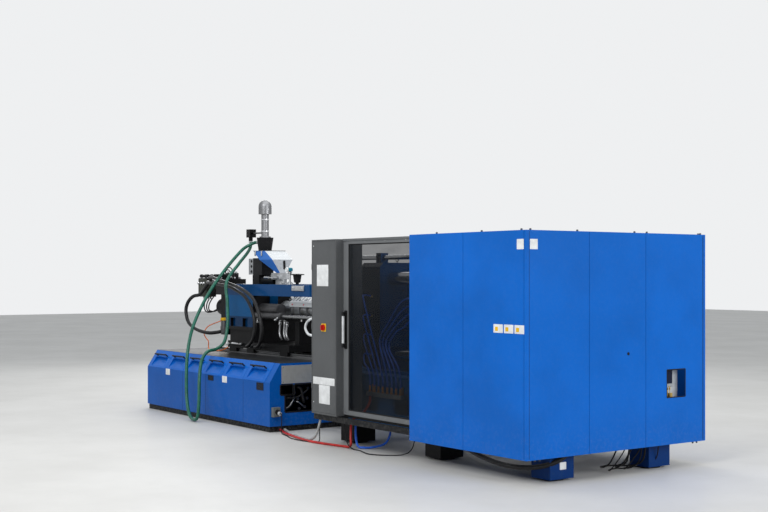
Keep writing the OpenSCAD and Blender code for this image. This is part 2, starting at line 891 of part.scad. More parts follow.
// Electrical column on the rear side
module rear_column() {
  color(grey) difference() {
    column_body();
    translate([isolator_x(), 0, isolator_z]) bar_y(-side_y - cut, -side_y + 20, shaft_r + fit);
  }
}

// Middle of the isolator along the machine
function isolator_x() = door_x - column_length / 2;

// Sheet column with folded edges and a recess along its front door
module column_body() {
  reveal = 4;
  margin = 14;
  block([column_x + margin, -panel_in_y, ring_z + tube], [door_x - margin, -tube_in_y, column_bottom_z]);
  difference() {
    block([column_x, -side_y, column_bottom_z], [door_x, -side_y + column_depth, column_top_z]);
    difference() {
      block([column_x + margin, -side_y - cut, column_bottom_z + margin],
            [door_x - margin, -side_y + reveal, column_top_z - margin]);
      block([column_x + margin + reveal, -side_y - 2 * cut, column_bottom_z + margin + reveal],
            [door_x - margin - reveal, -side_y + 2 * reveal, column_top_z - margin - reveal]);
    }
  }
}

// Column on the operator's side with the seat for the operator panel
module front_column() {
  color(grey) difference() {
    mirror([0, 1, 0]) column_body();
    block([operator_x(), side_y - operator_seat, operator_z],
          [operator_x() + operator_w, side_y + cut, operator_z + operator_h]);
  }
}

// Left edge of the operator panel
function operator_x() = door_x - (column_length + operator_w) / 2;

// Turning knob of the main isolator
module isolator_knob() {
  grip_w = 12;
  color("#c0281e") translate([isolator_x(), -side_y, isolator_z]) {
    bar_y(-14, -gap, isolator_radius);
    difference() {
      bar_y(-knob_reach, -14, isolator_radius - 5);
      for (s = [-1, 1]) translate([s * (grip_w / 2 + isolator_radius / 2), 0, 0])
        translate([-isolator_radius / 2, -knob_reach - cut, -isolator_radius])
          cube([isolator_radius, knob_reach - 14, 2 * isolator_radius]);
    }
    bar_y(-gap, 18, shaft_r);
  }
}

// Operator panel with a screen recess, rows of keys and the stop button's seat
module operator_panel() {
  y1 = side_y + operator_proud;
  screen_h = 240;
  key = 22;
  pitch = 30;
  stop_x = operator_x() + operator_w - 50;
  color(black) difference() {
    union() {
      block([operator_x() + gap, side_y - operator_seat, operator_z + gap],
            [operator_x() + operator_w - gap, y1, operator_z + operator_h - gap]);
      for (i = [0:6], j = [0:2])
        translate([operator_x() + 30 + i * pitch, y1 - cut, operator_z + 90 + j * pitch])
          cube([key, 3 + cut, key]);
    }
    block([operator_x() + 25, y1 - 4, operator_z + operator_h - screen_h],
          [operator_x() + operator_w - 25, y1 + cut, operator_z + operator_h - 25]);
    translate([stop_x, 0, operator_z + 45]) bar_y(y1 - 30, y1 + 4, stop_stem_r + fit);
  }
}

// Mushroom stop button
module stop_button() {
  y1 = side_y + operator_proud;
  stop_x = operator_x() + operator_w - 50;
  color("#c0281e") translate([stop_x, 0, operator_z + 45]) {
    bar_y(y1 - 22, y1 + 12, stop_stem_r);
    bar_y(y1 + 8, side_y + knob_reach - 4, stop_radius);
    bar_y(side_y + knob_reach - 4, side_y + knob_reach, stop_radius - 3);
  }
}

// Lifting hood over the nozzle behind the fixed platen
module purge_guard() {
  hood_x0 = fixed_back_x - 495;
  hood_x1 = fixed_back_x - 6;
  half = 230;
  sheet = 3;
  top_z = axis_z + guard_rise;
  low_z = axis_z - 120;
  hinge_x = fixed_back_x - hinge_reach;
  slot_half = band_radius + 25;
  color(light_grey) {
    difference() {
      block([hood_x0, -half, low_z], [hinge_x - 22, half, top_z]);
      block([hood_x0 + sheet, -half + sheet, low_z - cut], [hinge_x - 22 + cut, half - sheet, top_z - sheet]);
      block([hood_x0 - cut, -slot_half, low_z - cut], [hood_x0 + sheet + cut, slot_half, axis_z + slot_half]);
      for (i = [0:7]) block([hood_x0 + 60 + i * 45, -half + 60, top_z - 2 * sheet],
                            [hood_x0 + 75 + i * 45, half - 60, top_z + cut]);
    }
    translate([hinge_x, 0, top_z]) {
      bar_y(-180, 180, hinge_pin_r);
      for (y = [-176, 164]) translate([-24, y, -sheet]) cube([24, 12, sheet]);
    }
  }
}

// Outline of the injection bed's end, from the plinth to the deck, less a wall
function cabinet_outline(wall, top) = [
  [-cabinet_half + wall, plinth_h + wall],
  [cabinet_half - wall, plinth_h + wall],
  [cabinet_half - wall, slope_z],
  [cabinet_half - slope_run - wall, cabinet_top_z - top],
  [-cabinet_half + slope_run + wall, cabinet_top_z - top],
  [-cabinet_half + wall, slope_z]
];

// Children in the sloping side's own plane: X along the bed, Y up the slope, Z outwards
module on_slope(i) {
  translate([cover_x1 - (i + 1) * cover_pitch, -cabinet_half, slope_z])
    rotate([slope_angle, 0, 0]) children();
}

// Sheet cabinet of the injection bed with its openings
module injection_bed() {
  length = cabinet_x1 - cabinet_x0;
  hatch_y0 = -cabinet_half + 190;
  hatch_y1 = -cabinet_half + end_plate_reach;
  slot_y0 = -cabinet_half + 134;
  color(blue) difference() {
    translate([cabinet_x0, 0, 0]) rotate([90, 0, 90]) linear_extrude(length)
      polygon(cabinet_outline(0, 0));
    translate([cabinet_x0 + cabinet_sheet, 0, 0]) rotate([90, 0, 90])
      linear_extrude(length - 2 * cabinet_sheet) polygon(cabinet_outline(cabinet_sheet, deck_t));
    block([cabinet_x1 - cabinet_sheet - cut, hatch_y0, hatch_z], [cabinet_x1 + cut, hatch_y1, hatch_z + 173]);
    block([cabinet_x1 - cabinet_sheet - cut, hatch_y0 + 117, hatch_z], [cabinet_x1 + cut, hatch_y1, hatch_z + 283]);
    block([cabinet_x1 - cabinet_sheet - cut, slot_y0, hatch_z + 183], [cabinet_x1 + cut, slot_y0 + 150, hatch_z + 283]);
    both_sides() for (i = [0:cover_count - 1]) on_slope(i)
      block([(cover_pitch - pocket_w) / 2 - gap, pocket_low - gap, -pocket_depth - 30],
            [(cover_pitch + pocket_w) / 2 + gap, pocket_high + gap, 10]);
  }
}

// Recessed black plinth under the cabinet
module bed_plinth() {
  inset = 15;
  color(black) block([cabinet_x0 + inset, -cabinet_half + inset, 0],
                     [cabinet_x1 - inset, cabinet_half - inset, plinth_h]);
}

// Lift-off covers on the slope, each with a pressed pocket below its handle
module bed_covers() {
  edge = seam_gap / 2;
  color(blue) both_sides() for (i = [0:cover_count - 1]) on_slope(i) difference() {
    union() {
      block([edge, 2, 0], [cover_pitch - edge, slope_length - 4, cover_t]);
      pocket_body((cover_pitch - pocket_w) / 2, (cover_pitch + pocket_w) / 2, 0);
    }
    pocket_body((cover_pitch - pocket_w) / 2 + cover_t, (cover_pitch + pocket_w) / 2 - cover_t, cover_t);
  }
}

// Wedge of a pressed pocket: shallow at its foot and deep under the handle
module pocket_body(x0, x1, wall) {
  low = pocket_low + wall;
  high = pocket_high - wall;
  top = wall > 0 ? cover_t + cut : cover_t;
  translate([x0, 0, 0]) rotate([90, 0, 90]) linear_extrude(x1 - x0)
    polygon([[low, top], [low, wall > 0 ? 0 : -cut], [high, -pocket_depth + wall], [high, top]]);
}

// Bow handles over the pockets
module cover_handles() {
  reach = 38;
  up = pocket_high + 12;
  color(black) both_sides() for (i = [0:cover_count - 1]) on_slope(i) {
    x0 = (cover_pitch - bow_length) / 2;
    translate([0, up, cover_t + reach]) bar_x(x0, x0 + bow_length, bow_r);
    for (x = [x0 + 2 * bow_r, x0 + bow_length - 2 * bow_r])
      translate([x, up, cover_t]) cylinder(r = bow_r - 1.5, h = reach);
  }
}

// Bare steel plate on the bed's end
module bed_end_plate() {
  plate_t = 6;
  color(steel) block([cabinet_x1, -cabinet_half + slope_run + 14, cabinet_top_z - 26 - end_plate_h],
                     [cabinet_x1 + plate_t, -cabinet_half + end_plate_reach, cabinet_top_z - 26]);
}

// Mains socket on the bed's end with its round plug
module power_socket() {
  y0 = -cabinet_half + 20;
  z0 = 164;
  color(light_grey) {
    block([cabinet_x1, y0, z0], [cabinet_x1 + 45, y0 + 85, z0 + 100]);
    translate([cabinet_x1 + 45, y0 + 45, z0 + 52]) rotate([0, 105, 0]) {
      translate([0, 0, -12]) cylinder(r = 26, h = 32);
      translate([0, 0, 20]) cylinder(r = 20, h = 45);
    }
  }
}

// Hydraulic motor and pump inside the injection bed
module hydraulic_pump() {
  x1 = cabinet_x1 - 60;
  y = -cabinet_half + pump_inset;
  z = pump_z;
  color(black) {
    translate([0, y, z]) {
      bar_x(x1 - 760, x1 - 260, 130);
      bar_x(x1 - 260, x1 - 210, 150);
      bar_x(x1 - 210, x1 - 40, 85);
      bar_x(x1 - 40, x1, 45);
      translate([x1 - 120, 0, 60]) cylinder(r = 30, h = 70);
    }
    for (x = [x1 - 700, x1 - 360])
      block([x, y - 110, plinth_h + cabinet_sheet], [x + 50, y + 110, z - 60]);
  }
}

// Two profiled rails that the injection carriage runs on
module slide_rails() {
  x0 = housing_x0 - 280;
  x1 = cabinet_x1 - 90;
  h = rail_w / 2;
  waist = h - 7;
  foot_z = 17;
  head_z = rail_h - 8;
  color(steel) both_sides() translate([x0, rail_y, cabinet_top_z]) rotate([90, 0, 90])
    linear_extrude(x1 - x0) polygon([
      [-h, 0], [h, 0], [h, foot_z], [waist, foot_z + 8], [waist, head_z - 8], [h, head_z],
      [h, rail_h], [-h, rail_h], [-h, head_z], [-waist, head_z - 8], [-waist, foot_z + 8], [-h, foot_z]
    ]);
}

// Sliding base with runner blocks and the barrel's front saddle
module carriage_base() {
  half = 300;
  runner_l = 160;
  runner_w = rail_w + 50;
  color(black) difference() {
    union() {
      block([base_x0, -half, base_z], [base_x1, half, base_z + base_t]);
      both_sides() for (x = [base_x0 + 40, housing_x1 - 200, base_x1 - runner_l - 40])
        block([x, rail_y - runner_w / 2, cabinet_top_z + 14], [x + runner_l, rail_y + runner_w / 2, base_z]);
      block([base_x1 - saddle_l - 20, -150, base_z + base_t],
            [base_x1 - 20, 150, axis_z - band_radius - 30]);
      block([base_x1 - saddle_l - 20, -60, axis_z - band_radius - 30],
            [base_x1 - 20, 60, axis_z]);
    }
    both_sides() block([base_x0, rail_y - rail_w / 2 - gap, cabinet_top_z],
                       [base_x1, rail_y + rail_w / 2 + gap, rail_top_z + gap]);
    translate([0, 0, axis_z]) bar_x(base_x0, base_x1, barrel_radius);
  }
}

// Cast housing that holds the barrel, the injection cylinders and the feed throat
module injection_housing() {
  low_z = base_z + base_t;
  skirt_z = axis_z - 250;
  color(blue) difference() {
    union() {
      block([housing_x0, -housing_half, skirt_z], [housing_x1, housing_half, housing_top_z]);
      block([housing_x0 + 40, -housing_half + 40, low_z],
            [housing_x1 - 40, housing_half - 40, skirt_z]);
      block([housing_x1 - cut, -neck_half, axis_z - neck_half],
            [housing_x1 + neck_length, neck_half, housing_top_z]);
    }
    translate([0, 0, axis_z]) bar_x(housing_x0 - cut, housing_x1 + neck_length + cut, barrel_radius + fit);
    for (s = [-1, 1]) translate([0, s * cylinder_y, axis_z])
      bar_x(housing_x0 - cut, housing_x1 + cut, inj_cyl_radius + fit);
    translate([throat_x, 0, axis_z]) cylinder(r = feed_r, h = 400);
    for (x = [housing_x0 + 120, housing_x1 - 240])
      block([x, -housing_half - cut, skirt_z + 40], [x + 120, -housing_half + 40, axis_z - 110]);
  }
}

// Long box beams on the housing that carry the cables and the barrel cover
module side_beams() {
  x0 = thrust_x0 + 20;
  x1 = housing_x1 + side_beam_reach;
  color(blue) {
    both_sides() block([x0, side_beam_outer - side_beam_w, housing_top_z],
                       [x1, side_beam_outer, housing_top_z + side_beam_h]);
    for (x = cover_lug_x) translate([x, cover_hinge_y, cover_hinge_z]) difference() {
      rotate([90, 0, 90]) linear_extrude(lug_t) {
        circle(16);
        translate([0, -16]) square([side_beam_outer - cover_hinge_y - 10, 32]);
        translate([side_beam_outer - cover_hinge_y - 55, -16])
          square([45, housing_top_z - cover_hinge_z + 16]);
      }
      bar_x(-cut, lug_t + cut, hinge_pin_r + fit);
    }
  }
}

// Heated barrel with its feed opening
module barrel() {
  color(steel) difference() {
    translate([0, 0, axis_z]) bar_x(barrel_x0, barrel_x1, barrel_radius);
    translate([0, 0, axis_z]) bar_x(barrel_x0 - cut, barrel_x1 + cut, screw_radius + screw_fit);
    translate([throat_x, 0, axis_z]) cylinder(r = feed_r, h = 200);
  }
}

// Places of the heater bands that are clear of the barrel's saddle
function band_starts() = [for (i = [0:band_count - 1]) bands_x0 + i * band_step];

// Clamped heater bands with their terminal boxes
module heater_bands() {
  length = min(band_length, band_step - 20);
  saddle_x = base_x1 - saddle_l - 20;
  color(light_grey) difference() {
    for (x = band_starts()) translate([0, 0, axis_z]) {
      bar_x(x, x + length, band_radius);
      block([x + length / 2 - 35, -25, band_radius - 8], [x + length / 2 + 35, 25, band_radius + 22]);
    }
    translate([0, 0, axis_z]) bar_x(barrel_x0, barrel_x1, barrel_radius);
    block([saddle_x - 5, -band_radius - 30, axis_z - 200],
          [saddle_x + saddle_l + 5, band_radius + 30, axis_z + 200]);
  }
}

// Nozzle with its adaptor and hexagon
module nozzle() {
  adaptor = 70;
  hex = 45;
  color(steel) difference() {
    translate([0, 0, axis_z]) union() {
      bar_x(barrel_x1, barrel_x1 + adaptor, barrel_radius - 5);
      bar_x(barrel_x1 + adaptor, barrel_x1 + adaptor + hex, 42, $fn = 6);
      bar_x(barrel_x1 + adaptor + hex, nozzle_tip_x - 25, 30);
      translate([nozzle_tip_x - 25, 0, 0]) rotate([0, 90, 0]) cylinder(r1 = 30, r2 = 14, h = 25);
    }
    translate([0, 0, axis_z]) bar_x(barrel_x1 - cut, nozzle_tip_x + cut, 4);
  }
}

// Slotted roof over the barrel, hinged along the operator's side
module barrel_cover() {
  half = 196;
  sheet = 3;
  low_z = cover_hinge_z - 28;
  eave_z = axis_z + 92;
  ridge_z = axis_z + 195;
  ridge_half = 50;
  outline = [[-half, low_z], [half, low_z], [half, eave_z], [ridge_half, ridge_z],
             [-ridge_half, ridge_z], [-half, eave_z]];
  inner = [[-half + sheet, low_z - cut], [half - sheet, low_z - cut], [half - sheet, eave_z - sheet],
           [ridge_half, ridge_z - sheet], [-ridge_half, ridge_z - sheet], [-half + sheet, eave_z - sheet]];
  slots = 9;
  slot_step = cover_length / slots;
  color(light_grey) {
    difference() {
      translate([cover_x0, 0, 0]) rotate([90, 0, 90]) linear_extrude(cover_length) polygon(outline);
      translate([cover_x0 - cut, 0, 0]) rotate([90, 0, 90])
        linear_extrude(cover_length + 2 * cut) polygon(inner);
      for (i = [0:slots - 1], s = [-1, 1])
        translate([cover_x0 + (i + 0.3) * slot_step, s * 125 - 45, ridge_z - 110])
          cube([slot_step * 0.4, 90, 130]);
    }
    for (x = cover_lug_x) {
      translate([0, cover_hinge_y, cover_hinge_z]) bar_x(x - 22, x + lug_t + 22, hinge_pin_r);
      for (k = [x - 22, x + lug_t + 8])
        block([k, half - sheet, cover_hinge_z - 6], [k + 14, cover_hinge_y, cover_hinge_z + 6]);
    }
  }
}

// Plasticising screw with its flight and shank
module screw() {
  root_r = 27;
  pitch = 100;
  shank_r = 34;
  flight_x0 = throat_x - 160;
  flight_x1 = barrel_x1 - 60;
  turns = (flight_x1 - flight_x0) / pitch;
  land = 4;
  crest = sqrt(pow(screw_radius, 2) - pow(land, 2)) - gap;
  color(steel) translate([0, 0, axis_z]) {
    bar_x(flight_x0, flight_x1, root_r);
    bar_x(thrust_x0 + 20, flight_x0, shank_r);
    bar_x(thrust_x0 - 60, thrust_x0 + 20, motor_shaft_r);
    translate([flight_x1, 0, 0]) rotate([0, 90, 0]) cylinder(r1 = root_r, r2 = 6, h = 45);
    translate([flight_x0, 0, 0]) rotate([0, 90, 0])
      linear_extrude(flight_x1 - flight_x0, twist = -360 * turns, slices = round(turns * 10), $fn = 4)
        polygon([[0, -5], [crest, -land], [crest, land], [0, 5]]);
  }
}

// Sliding plate that pushes the screw, with the two piston rods
module thrust_plate() {
  half = 250;
  low_z = axis_z - 330;
  high_z = axis_z + 240;
  rod_end_x = housing_x1 + inj_rod_reach;
  piston_t = 50;
  color(black) difference() {
    union() {
      block([thrust_x0, -half, low_z], [thrust_x1, half, high_z]);
      for (s = [-1, 1]) translate([0, s * cylinder_y, axis_z]) {
        bar_x(thrust_x1 - cut, rod_end_x, inj_rod_r);
        bar_x(rod_end_x - piston_t, rod_end_x, inj_bore_r - fit);
        bar_x(thrust_x0 - rod_nut_t, thrust_x0, inj_rod_r + 14, $fn = 6);
      }
    }
    translate([0, 0, axis_z]) {
      bar_x(thrust_x0 + 20, thrust_x1 + cut, 34 + fit);
      bar_x(thrust_x0 - cut, thrust_x0 + 20 + cut, motor_shaft_r + fit);
    }
  }
}

// Injection cylinders clamped in the housing
module injection_cylinders() {
  x0 = housing_x0 - 15;
  x1 = housing_x1 + 420;
  color(grey) for (s = [-1, 1]) translate([0, s * cylinder_y, axis_z]) difference() {
    bar_x(x0, x1, inj_cyl_radius);
    bar_x(x0 - cut, x0 + 60, inj_rod_r + fit);
    bar_x(x0 + 60 - cut, x1 - 40, inj_bore_r);
  }
}

// Hydraulic motor that turns the screw, with its valve block
module screw_motor() {
  flange_t = 40;
  color(black) difference() {
    union() {
      translate([0, 0, axis_z]) {
        bar_x(thrust_x0 - flange_t, thrust_x0, motor_radius + 25);
        bar_x(motor_x0 + 120, thrust_x0 - flange_t, motor_radius);
        bar_x(motor_x0, motor_x0 + 120, motor_radius - 30);
      }
      block([motor_x0 + 140, -90, axis_z + 60], [thrust_x0 - 60, 90, axis_z + 290]);
      block([motor_x0 + 90, -240, axis_z + 290], [thrust_x0 - 40, 120, axis_z + 350]);
      block([motor_x0 + 120, -200, axis_z + 350], [motor_x0 + 200, -60, axis_z + 410]);
      block([motor_x0 + 240, -200, axis_z + 350], [motor_x0 + 310, -120, axis_z + 395]);
    }
    translate([0, 0, axis_z]) bar_x(thrust_x0 - 70, thrust_x0 + cut, motor_shaft_r + fit);
    for (s = [-1, 1]) translate([0, s * cylinder_y, axis_z])
      bar_x(thrust_x0 - flange_t - cut, thrust_x0 + cut, inj_rod_r + 17);
  }
}

// Cylinders that pull the carriage up to the platen
module carriage_cylinders() {
  x0 = housing_x1;
  x1 = housing_x1 + carriage_cyl_l;
  color(grey) for (s = [-1, 1]) translate([0, s * carriage_rod_y, axis_z - carriage_rod_drop])
    difference() {
      union() {
        bar_x(x0, x1, carriage_cyl_r - 6);
        bar_x(x0, x0 + 40, carriage_cyl_r - 4);
        bar_x(x1 - 70, x1, carriage_cyl_r);
      }
      bar_x(x0 + 30, x1 + cut, carriage_rod_r + fit);
    }
}

// Long rods from the carriage cylinders to the fixed platen
module carriage_rods() {
  collar_t = 40;
  x0 = housing_x1 + 620 - 60 - retract_travel;
  color(steel) for (s = [-1, 1]) translate([0, s * carriage_rod_y, axis_z - carriage_rod_drop]) {
    bar_x(x0, fixed_back_x, carriage_rod_r);
    bar_x(fixed_back_x - collar_t, fixed_back_x, carriage_rod_r + 14);
  }
}

// Cast throat block between housing and hopper
module throat_block() {
  h = throat_w / 2;
  color(light_grey) difference() {
    union() {
      translate([throat_x, 0, housing_top_z]) {
        block([-h, -h, 0], [h, h, 24]);
        cylinder(r = h - 18, h = throat_h - 70);
        block([-h, -h, throat_h - 76], [h, h, throat_h]);
      }
      translate([throat_x, 0, housing_top_z + 120]) bar_x(0, h + 95, 34);
      translate([throat_x, 0, housing_top_z + 120]) bar_x(h + 95, h + 115, 44);
    }
    translate([throat_x, 0, housing_top_z - cut]) cylinder(r = feed_r, h = throat_h + 2 * cut);
    translate([throat_x, 0, gate_z]) block([-gate_half - gap, -h - cut, -gap],
                                          [gate_half + gap, gate_half + gap, gate_t + gap]);
  }
}

// Slide that shuts the hopper's outlet, drawn pulled out
module hopper_gate() {
  h = throat_w / 2;
  color(steel) translate([throat_x, 0, gate_z]) {
    block([-gate_half, -h - 110, 0], [gate_half, -feed_r - 3, gate_t]);
    translate([0, -h - 116, gate_t / 2]) bar_x(-45, 45, 12);
  }
}

// Hopper rings: low side and high side in X, half width in Y, height
function hopper_rings(wall) = [
  [-feed_r - 8 + wall, feed_r + 8 - wall, feed_r + 8 - wall, 0],
  [-funnel_back + wall, funnel_front - wall, hopper_half - wall, funnel_h],
  [-rim_back + wall, -rim_inset - wall, hopper_half - wall, funnel_h + rim_h]
];

// A loft through rectangular rings
module ring_loft(rings) {
  points = [for (r = rings) each [[r[0], -r[2], r[3]], [r[1], -r[2], r[3]],
                                  [r[1], r[2], r[3]], [r[0], r[2], r[3]]]];
  last = len(rings) - 1;
  sides = [for (k = [0:last - 1], j = [0:3])
    [4 * k + j, 4 * (k + 1) + j, 4 * (k + 1) + (j + 1) % 4, 4 * k + (j + 1) % 4]];
  polyhedron(points, concat([[0, 1, 2, 3]], sides, [[4 * last + 3, 4 * last + 2, 4 * last + 1, 4 * last]]));
}

// Sheet hopper with a bevelled inspection side
module hopper() {
  lid_t = 4;
  color("#dfe3e8") translate([throat_x, 0, hopper_z]) {
    difference() {
      ring_loft(hopper_rings(0));
      inner = hopper_rings(hopper_sheet);
      ring_loft([
        [inner[0][0], inner[0][1], inner[0][2], -cut], inner[0], inner[1], inner[2],
        [inner[2][0], inner[2][1], inner[2][2], funnel_h + rim_h + cut]
      ]);
    }
    translate([0, 0, funnel_h + rim_h]) difference() {
      block([-rim_back - 6, -hopper_half - 6, 0], [6 - rim_inset, hopper_half + 6, lid_t]);
      translate([cup_x - throat_x, cup_y, -cut]) cylinder(r = cup_foot_r - 12, h = lid_t + 2 * cut);
    }
  }
}

// Black cup of the loader with a side port
module loader_cup() {
  color(black) translate([cup_x, cup_y, cup_z]) difference() {
    union() {
      cylinder(r1 = cup_foot_r, r2 = cup_top_r, h = cup_h);
      translate([0, 0, cup_h - 52]) rotate([0, 0, 180]) bar_x(cup_foot_r - 20, cup_top_r + 45, 24);
    }
    translate([0, 0, -cut]) cylinder(r1 = cup_foot_r - 5, r2 = cup_top_r - 6, h = cup_h - 8);
  }
}

// Steel loader tube with its domed head and the arm that holds the hose coupling
module loader_tube() {
  z0 = cup_z + cup_h;
  color(steel) translate([cup_x, cup_y, 0]) {
    translate([0, 0, z0]) cylinder(r = loader_r, h = head_rise);
    translate([0, 0, z0]) cylinder(r = loader_r + 22, h = 14);
    translate([0, 0, z0 + head_rise - 20]) cylinder(r = head_r, h = 90);
    translate([0, 0, z0 + head_rise + 70]) intersection() {
      sphere(r = head_r);
      cylinder(r = head_r + cut, h = head_r);
    }
    translate([0, 0, coupling_z]) rotate([0, 0, 180]) bar_x(loader_r - 10, 300, 11);
  }
  color(black) translate([coupling_x, cup_y, coupling_z]) {
    block([-48, -42, -50], [42, 42, 48]);
    translate([-14, 0, -92]) cylinder(r = 25, h = 45);
  }
}

// Feeder motor with its gearbox and terminal box, beside the throat
module feeder_motor() {
  x1 = throat_x - throat_w / 2;
  gear_z = housing_top_z + 180;
  color(black) {
    block([x1 - 450, -80, housing_top_z], [x1 - 300, 80, gear_z + 60]);
    bar_x_at(x1 - 301, x1 - 2, gear_z, 58);
    bar_x_at(x1 - 60, x1 - 2, gear_z, 66);
    block([x1 - 130, -40, housing_top_z], [x1 - 90, 40, gear_z - 40]);
    block([x1 - 440, -80, gear_z + 59], [x1 - 226, 80, gear_z + 262]);
    block([x1 - 574, -62, gear_z + 65], [x1 - 439, 62, gear_z + 258]);
  }
}

// Catmull-Rom point between b and c
function curve_point(a, b, c, d, t) = 0.5 * ((2 * b) + (c - a) * t
  + (2 * a - 5 * b + 4 * c - d) * t * t + (-a + 3 * b - 3 * c + d) * t * t * t);

// A route made smooth with n steps between its points
function smooth_route(p, n) = concat([for (i = [0:len(p) - 2], k = [0:n - 1])
  curve_point(p[max(i - 1, 0)], p[i], p[i + 1], p[min(i + 2, len(p) - 1)], k / n)], [p[len(p) - 1]]);

function unit(v) = v / norm(v);

// Direction of a route at each of its points
function route_dirs(p) = [for (i = [0:len(p) - 1])
  unit(p[min(i + 1, len(p) - 1)] - p[max(i - 1, 0)])];

// A side vector carried along the route without twist
function carried(dirs, side, i) = i == len(dirs) ? [] :
  let (s = unit(side - (side * dirs[i]) * dirs[i])) concat([s], carried(dirs, s, i + 1));

// Round hose along a route
module hose(route, r, steps, facets) {
  p = smooth_route(route, steps);
  dirs = route_dirs(p);
  start = abs(dirs[0][1]) < 0.9 ? [0, 1, 0] : [1, 0, 0];
  side = carried(dirs, start, 0);
  rings = [for (i = [0:len(p) - 1]) let (u = side[i], v = cross(dirs[i], u))
    [for (j = [0:facets - 1]) p[i] + r * (cos(360 * j / facets) * u + sin(360 * j / facets) * v)]];
  n = len(p);
  walls = [for (i = [0:n - 2], j = [0:facets - 1])
    [i * facets + j, (i + 1) * facets + j, (i + 1) * facets + (j + 1) % facets, i * facets + (j + 1) % facets]];
  foot = [for (j = [0:facets - 1]) j];
  head = [for (j = [0:facets - 1]) (n - 1) * facets + facets - 1 - j];
  polyhedron([for (ring = rings) each ring], concat([foot], walls, [head]));
}

// Material hose: cup port, down past the bed to the floor and back up to the coupling
material_route = [
  [-2305.5, -50, 2042], [-2326, -50, 2042], [-2348, -50, 2042], [-2378, -64, 2039],
  [-2412, -104, 2017], [-2458, -198, 1948], [-2495, -400, 1720], [-2480, -600, 1480], [-2420, -780, 1240], [-2330, -930, 1010], [-2260, -1020, 760],
  [-2210, -1060, 500], [-2150, -1085, 240], [-2050, -1105, 75], [-1930, -1115, 24],
  [-1840, -1110, 60], [-1850, -1085, 250], [-1900, -1055, 480], [-1950, -1000, 680],
  [-2000, -900, 775], [-2050, -760, 800], [-2060, -650, 880], [-2110, -580, 1090],
  [-2210, -530, 1330], [-2320, -480, 1570], [-2412, -265, 1785], [-2466, -145, 1885],
  [-2494, -82, 1946], [-2504, -55, 1988], [-2504, -50, 2016], [-2504, -50, 2039], [-2504, -50, 2061.5]
];

// Pressure hoses: valve block on the motor, over and down to the carriage base
pressure_route_a = [
  [-3080, -240.5, 1570], [-3080, -265, 1570], [-3080, -292, 1570], [-3058, -340, 1564],
  [-2998, -374, 1557], [-2880, -395, 1552], [-2714, -405, 1542], [-2420, -410, 1515],
  [-2238, -410, 1477], [-2009, -410, 1396], [-1860, -410, 1269], [-1778, -410, 1106],
  [-1804, -410, 940], [-1880, -407, 860], [-1960, -398, 828], [-2012, -378, 821],
  [-2035, -344, 821], [-2035, -322, 821], [-2035, -300.5, 821]
];
pressure_route_b = [
  [-3020, -240.5, 1570], [-3020, -265, 1570], [-3020, -292, 1570], [-3000, -335, 1588],
  [-2942, -374, 1618], [-2820, -408, 1624], [-2658, -430, 1600], [-2339, -440, 1550],
  [-2031, -440, 1488], [-1770, -440, 1381], [-1624, -440, 1202], [-1570, -440, 1040],
  [-1606, -435, 900], [-1690, -418, 838], [-1780, -402, 822], [-1832, -380, 821],
  [-1855, -344, 821], [-1855, -322, 821], [-1855, -300.5, 821]
];

// Black hoses from the valve block
module pressure_hoses() {
  color(black) {
    hose(pressure_route_a, pressure_hose_r, 3, 8);
    hose(pressure_route_b, pressure_hose_r, 3, 8);
  }
}

// Green hose of the material loader
module material_hose() {
  color("#2f7a5c") hose(material_route, material_hose_r, 3, 8);
}

clamp_bed();
levelling_pads();
fixed_platen();
moving_platen();
cylinder_platen();
tie_bars();
tie_bar_nuts();
clamp_cylinder();
clamp_ram();
ejector_plate();
ejector_cylinders();
safety_bar();
guard_frame();
rear_side_panels();
front_side_panels();
end_panels();
lubrication_unit();
water_manifold();
door_rails();
rear_door();
rear_door_pane();
rear_door_handle();
front_door();
front_door_pane();
front_door_handle();
rear_column();
front_column();
isolator_knob();
operator_panel();
stop_button();
purge_guard();
injection_bed();
bed_plinth();
bed_covers();
cover_handles();
bed_end_plate();
power_socket();
slide_rails();
carriage_base();
injection_housing();
side_beams();
barrel();
heater_bands();
nozzle();
barrel_cover();
screw();
thrust_plate();
injection_cylinders();
screw_motor();
carriage_cylinders();
carriage_rods();
throat_block();
hopper();
hopper_gate();
loader_cup();
loader_tube();
feeder_motor();
hydraulic_pump();
pressure_hoses();
material_hose();
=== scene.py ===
"""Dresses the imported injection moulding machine: camera, hoses, finishes and small fittings."""
import math

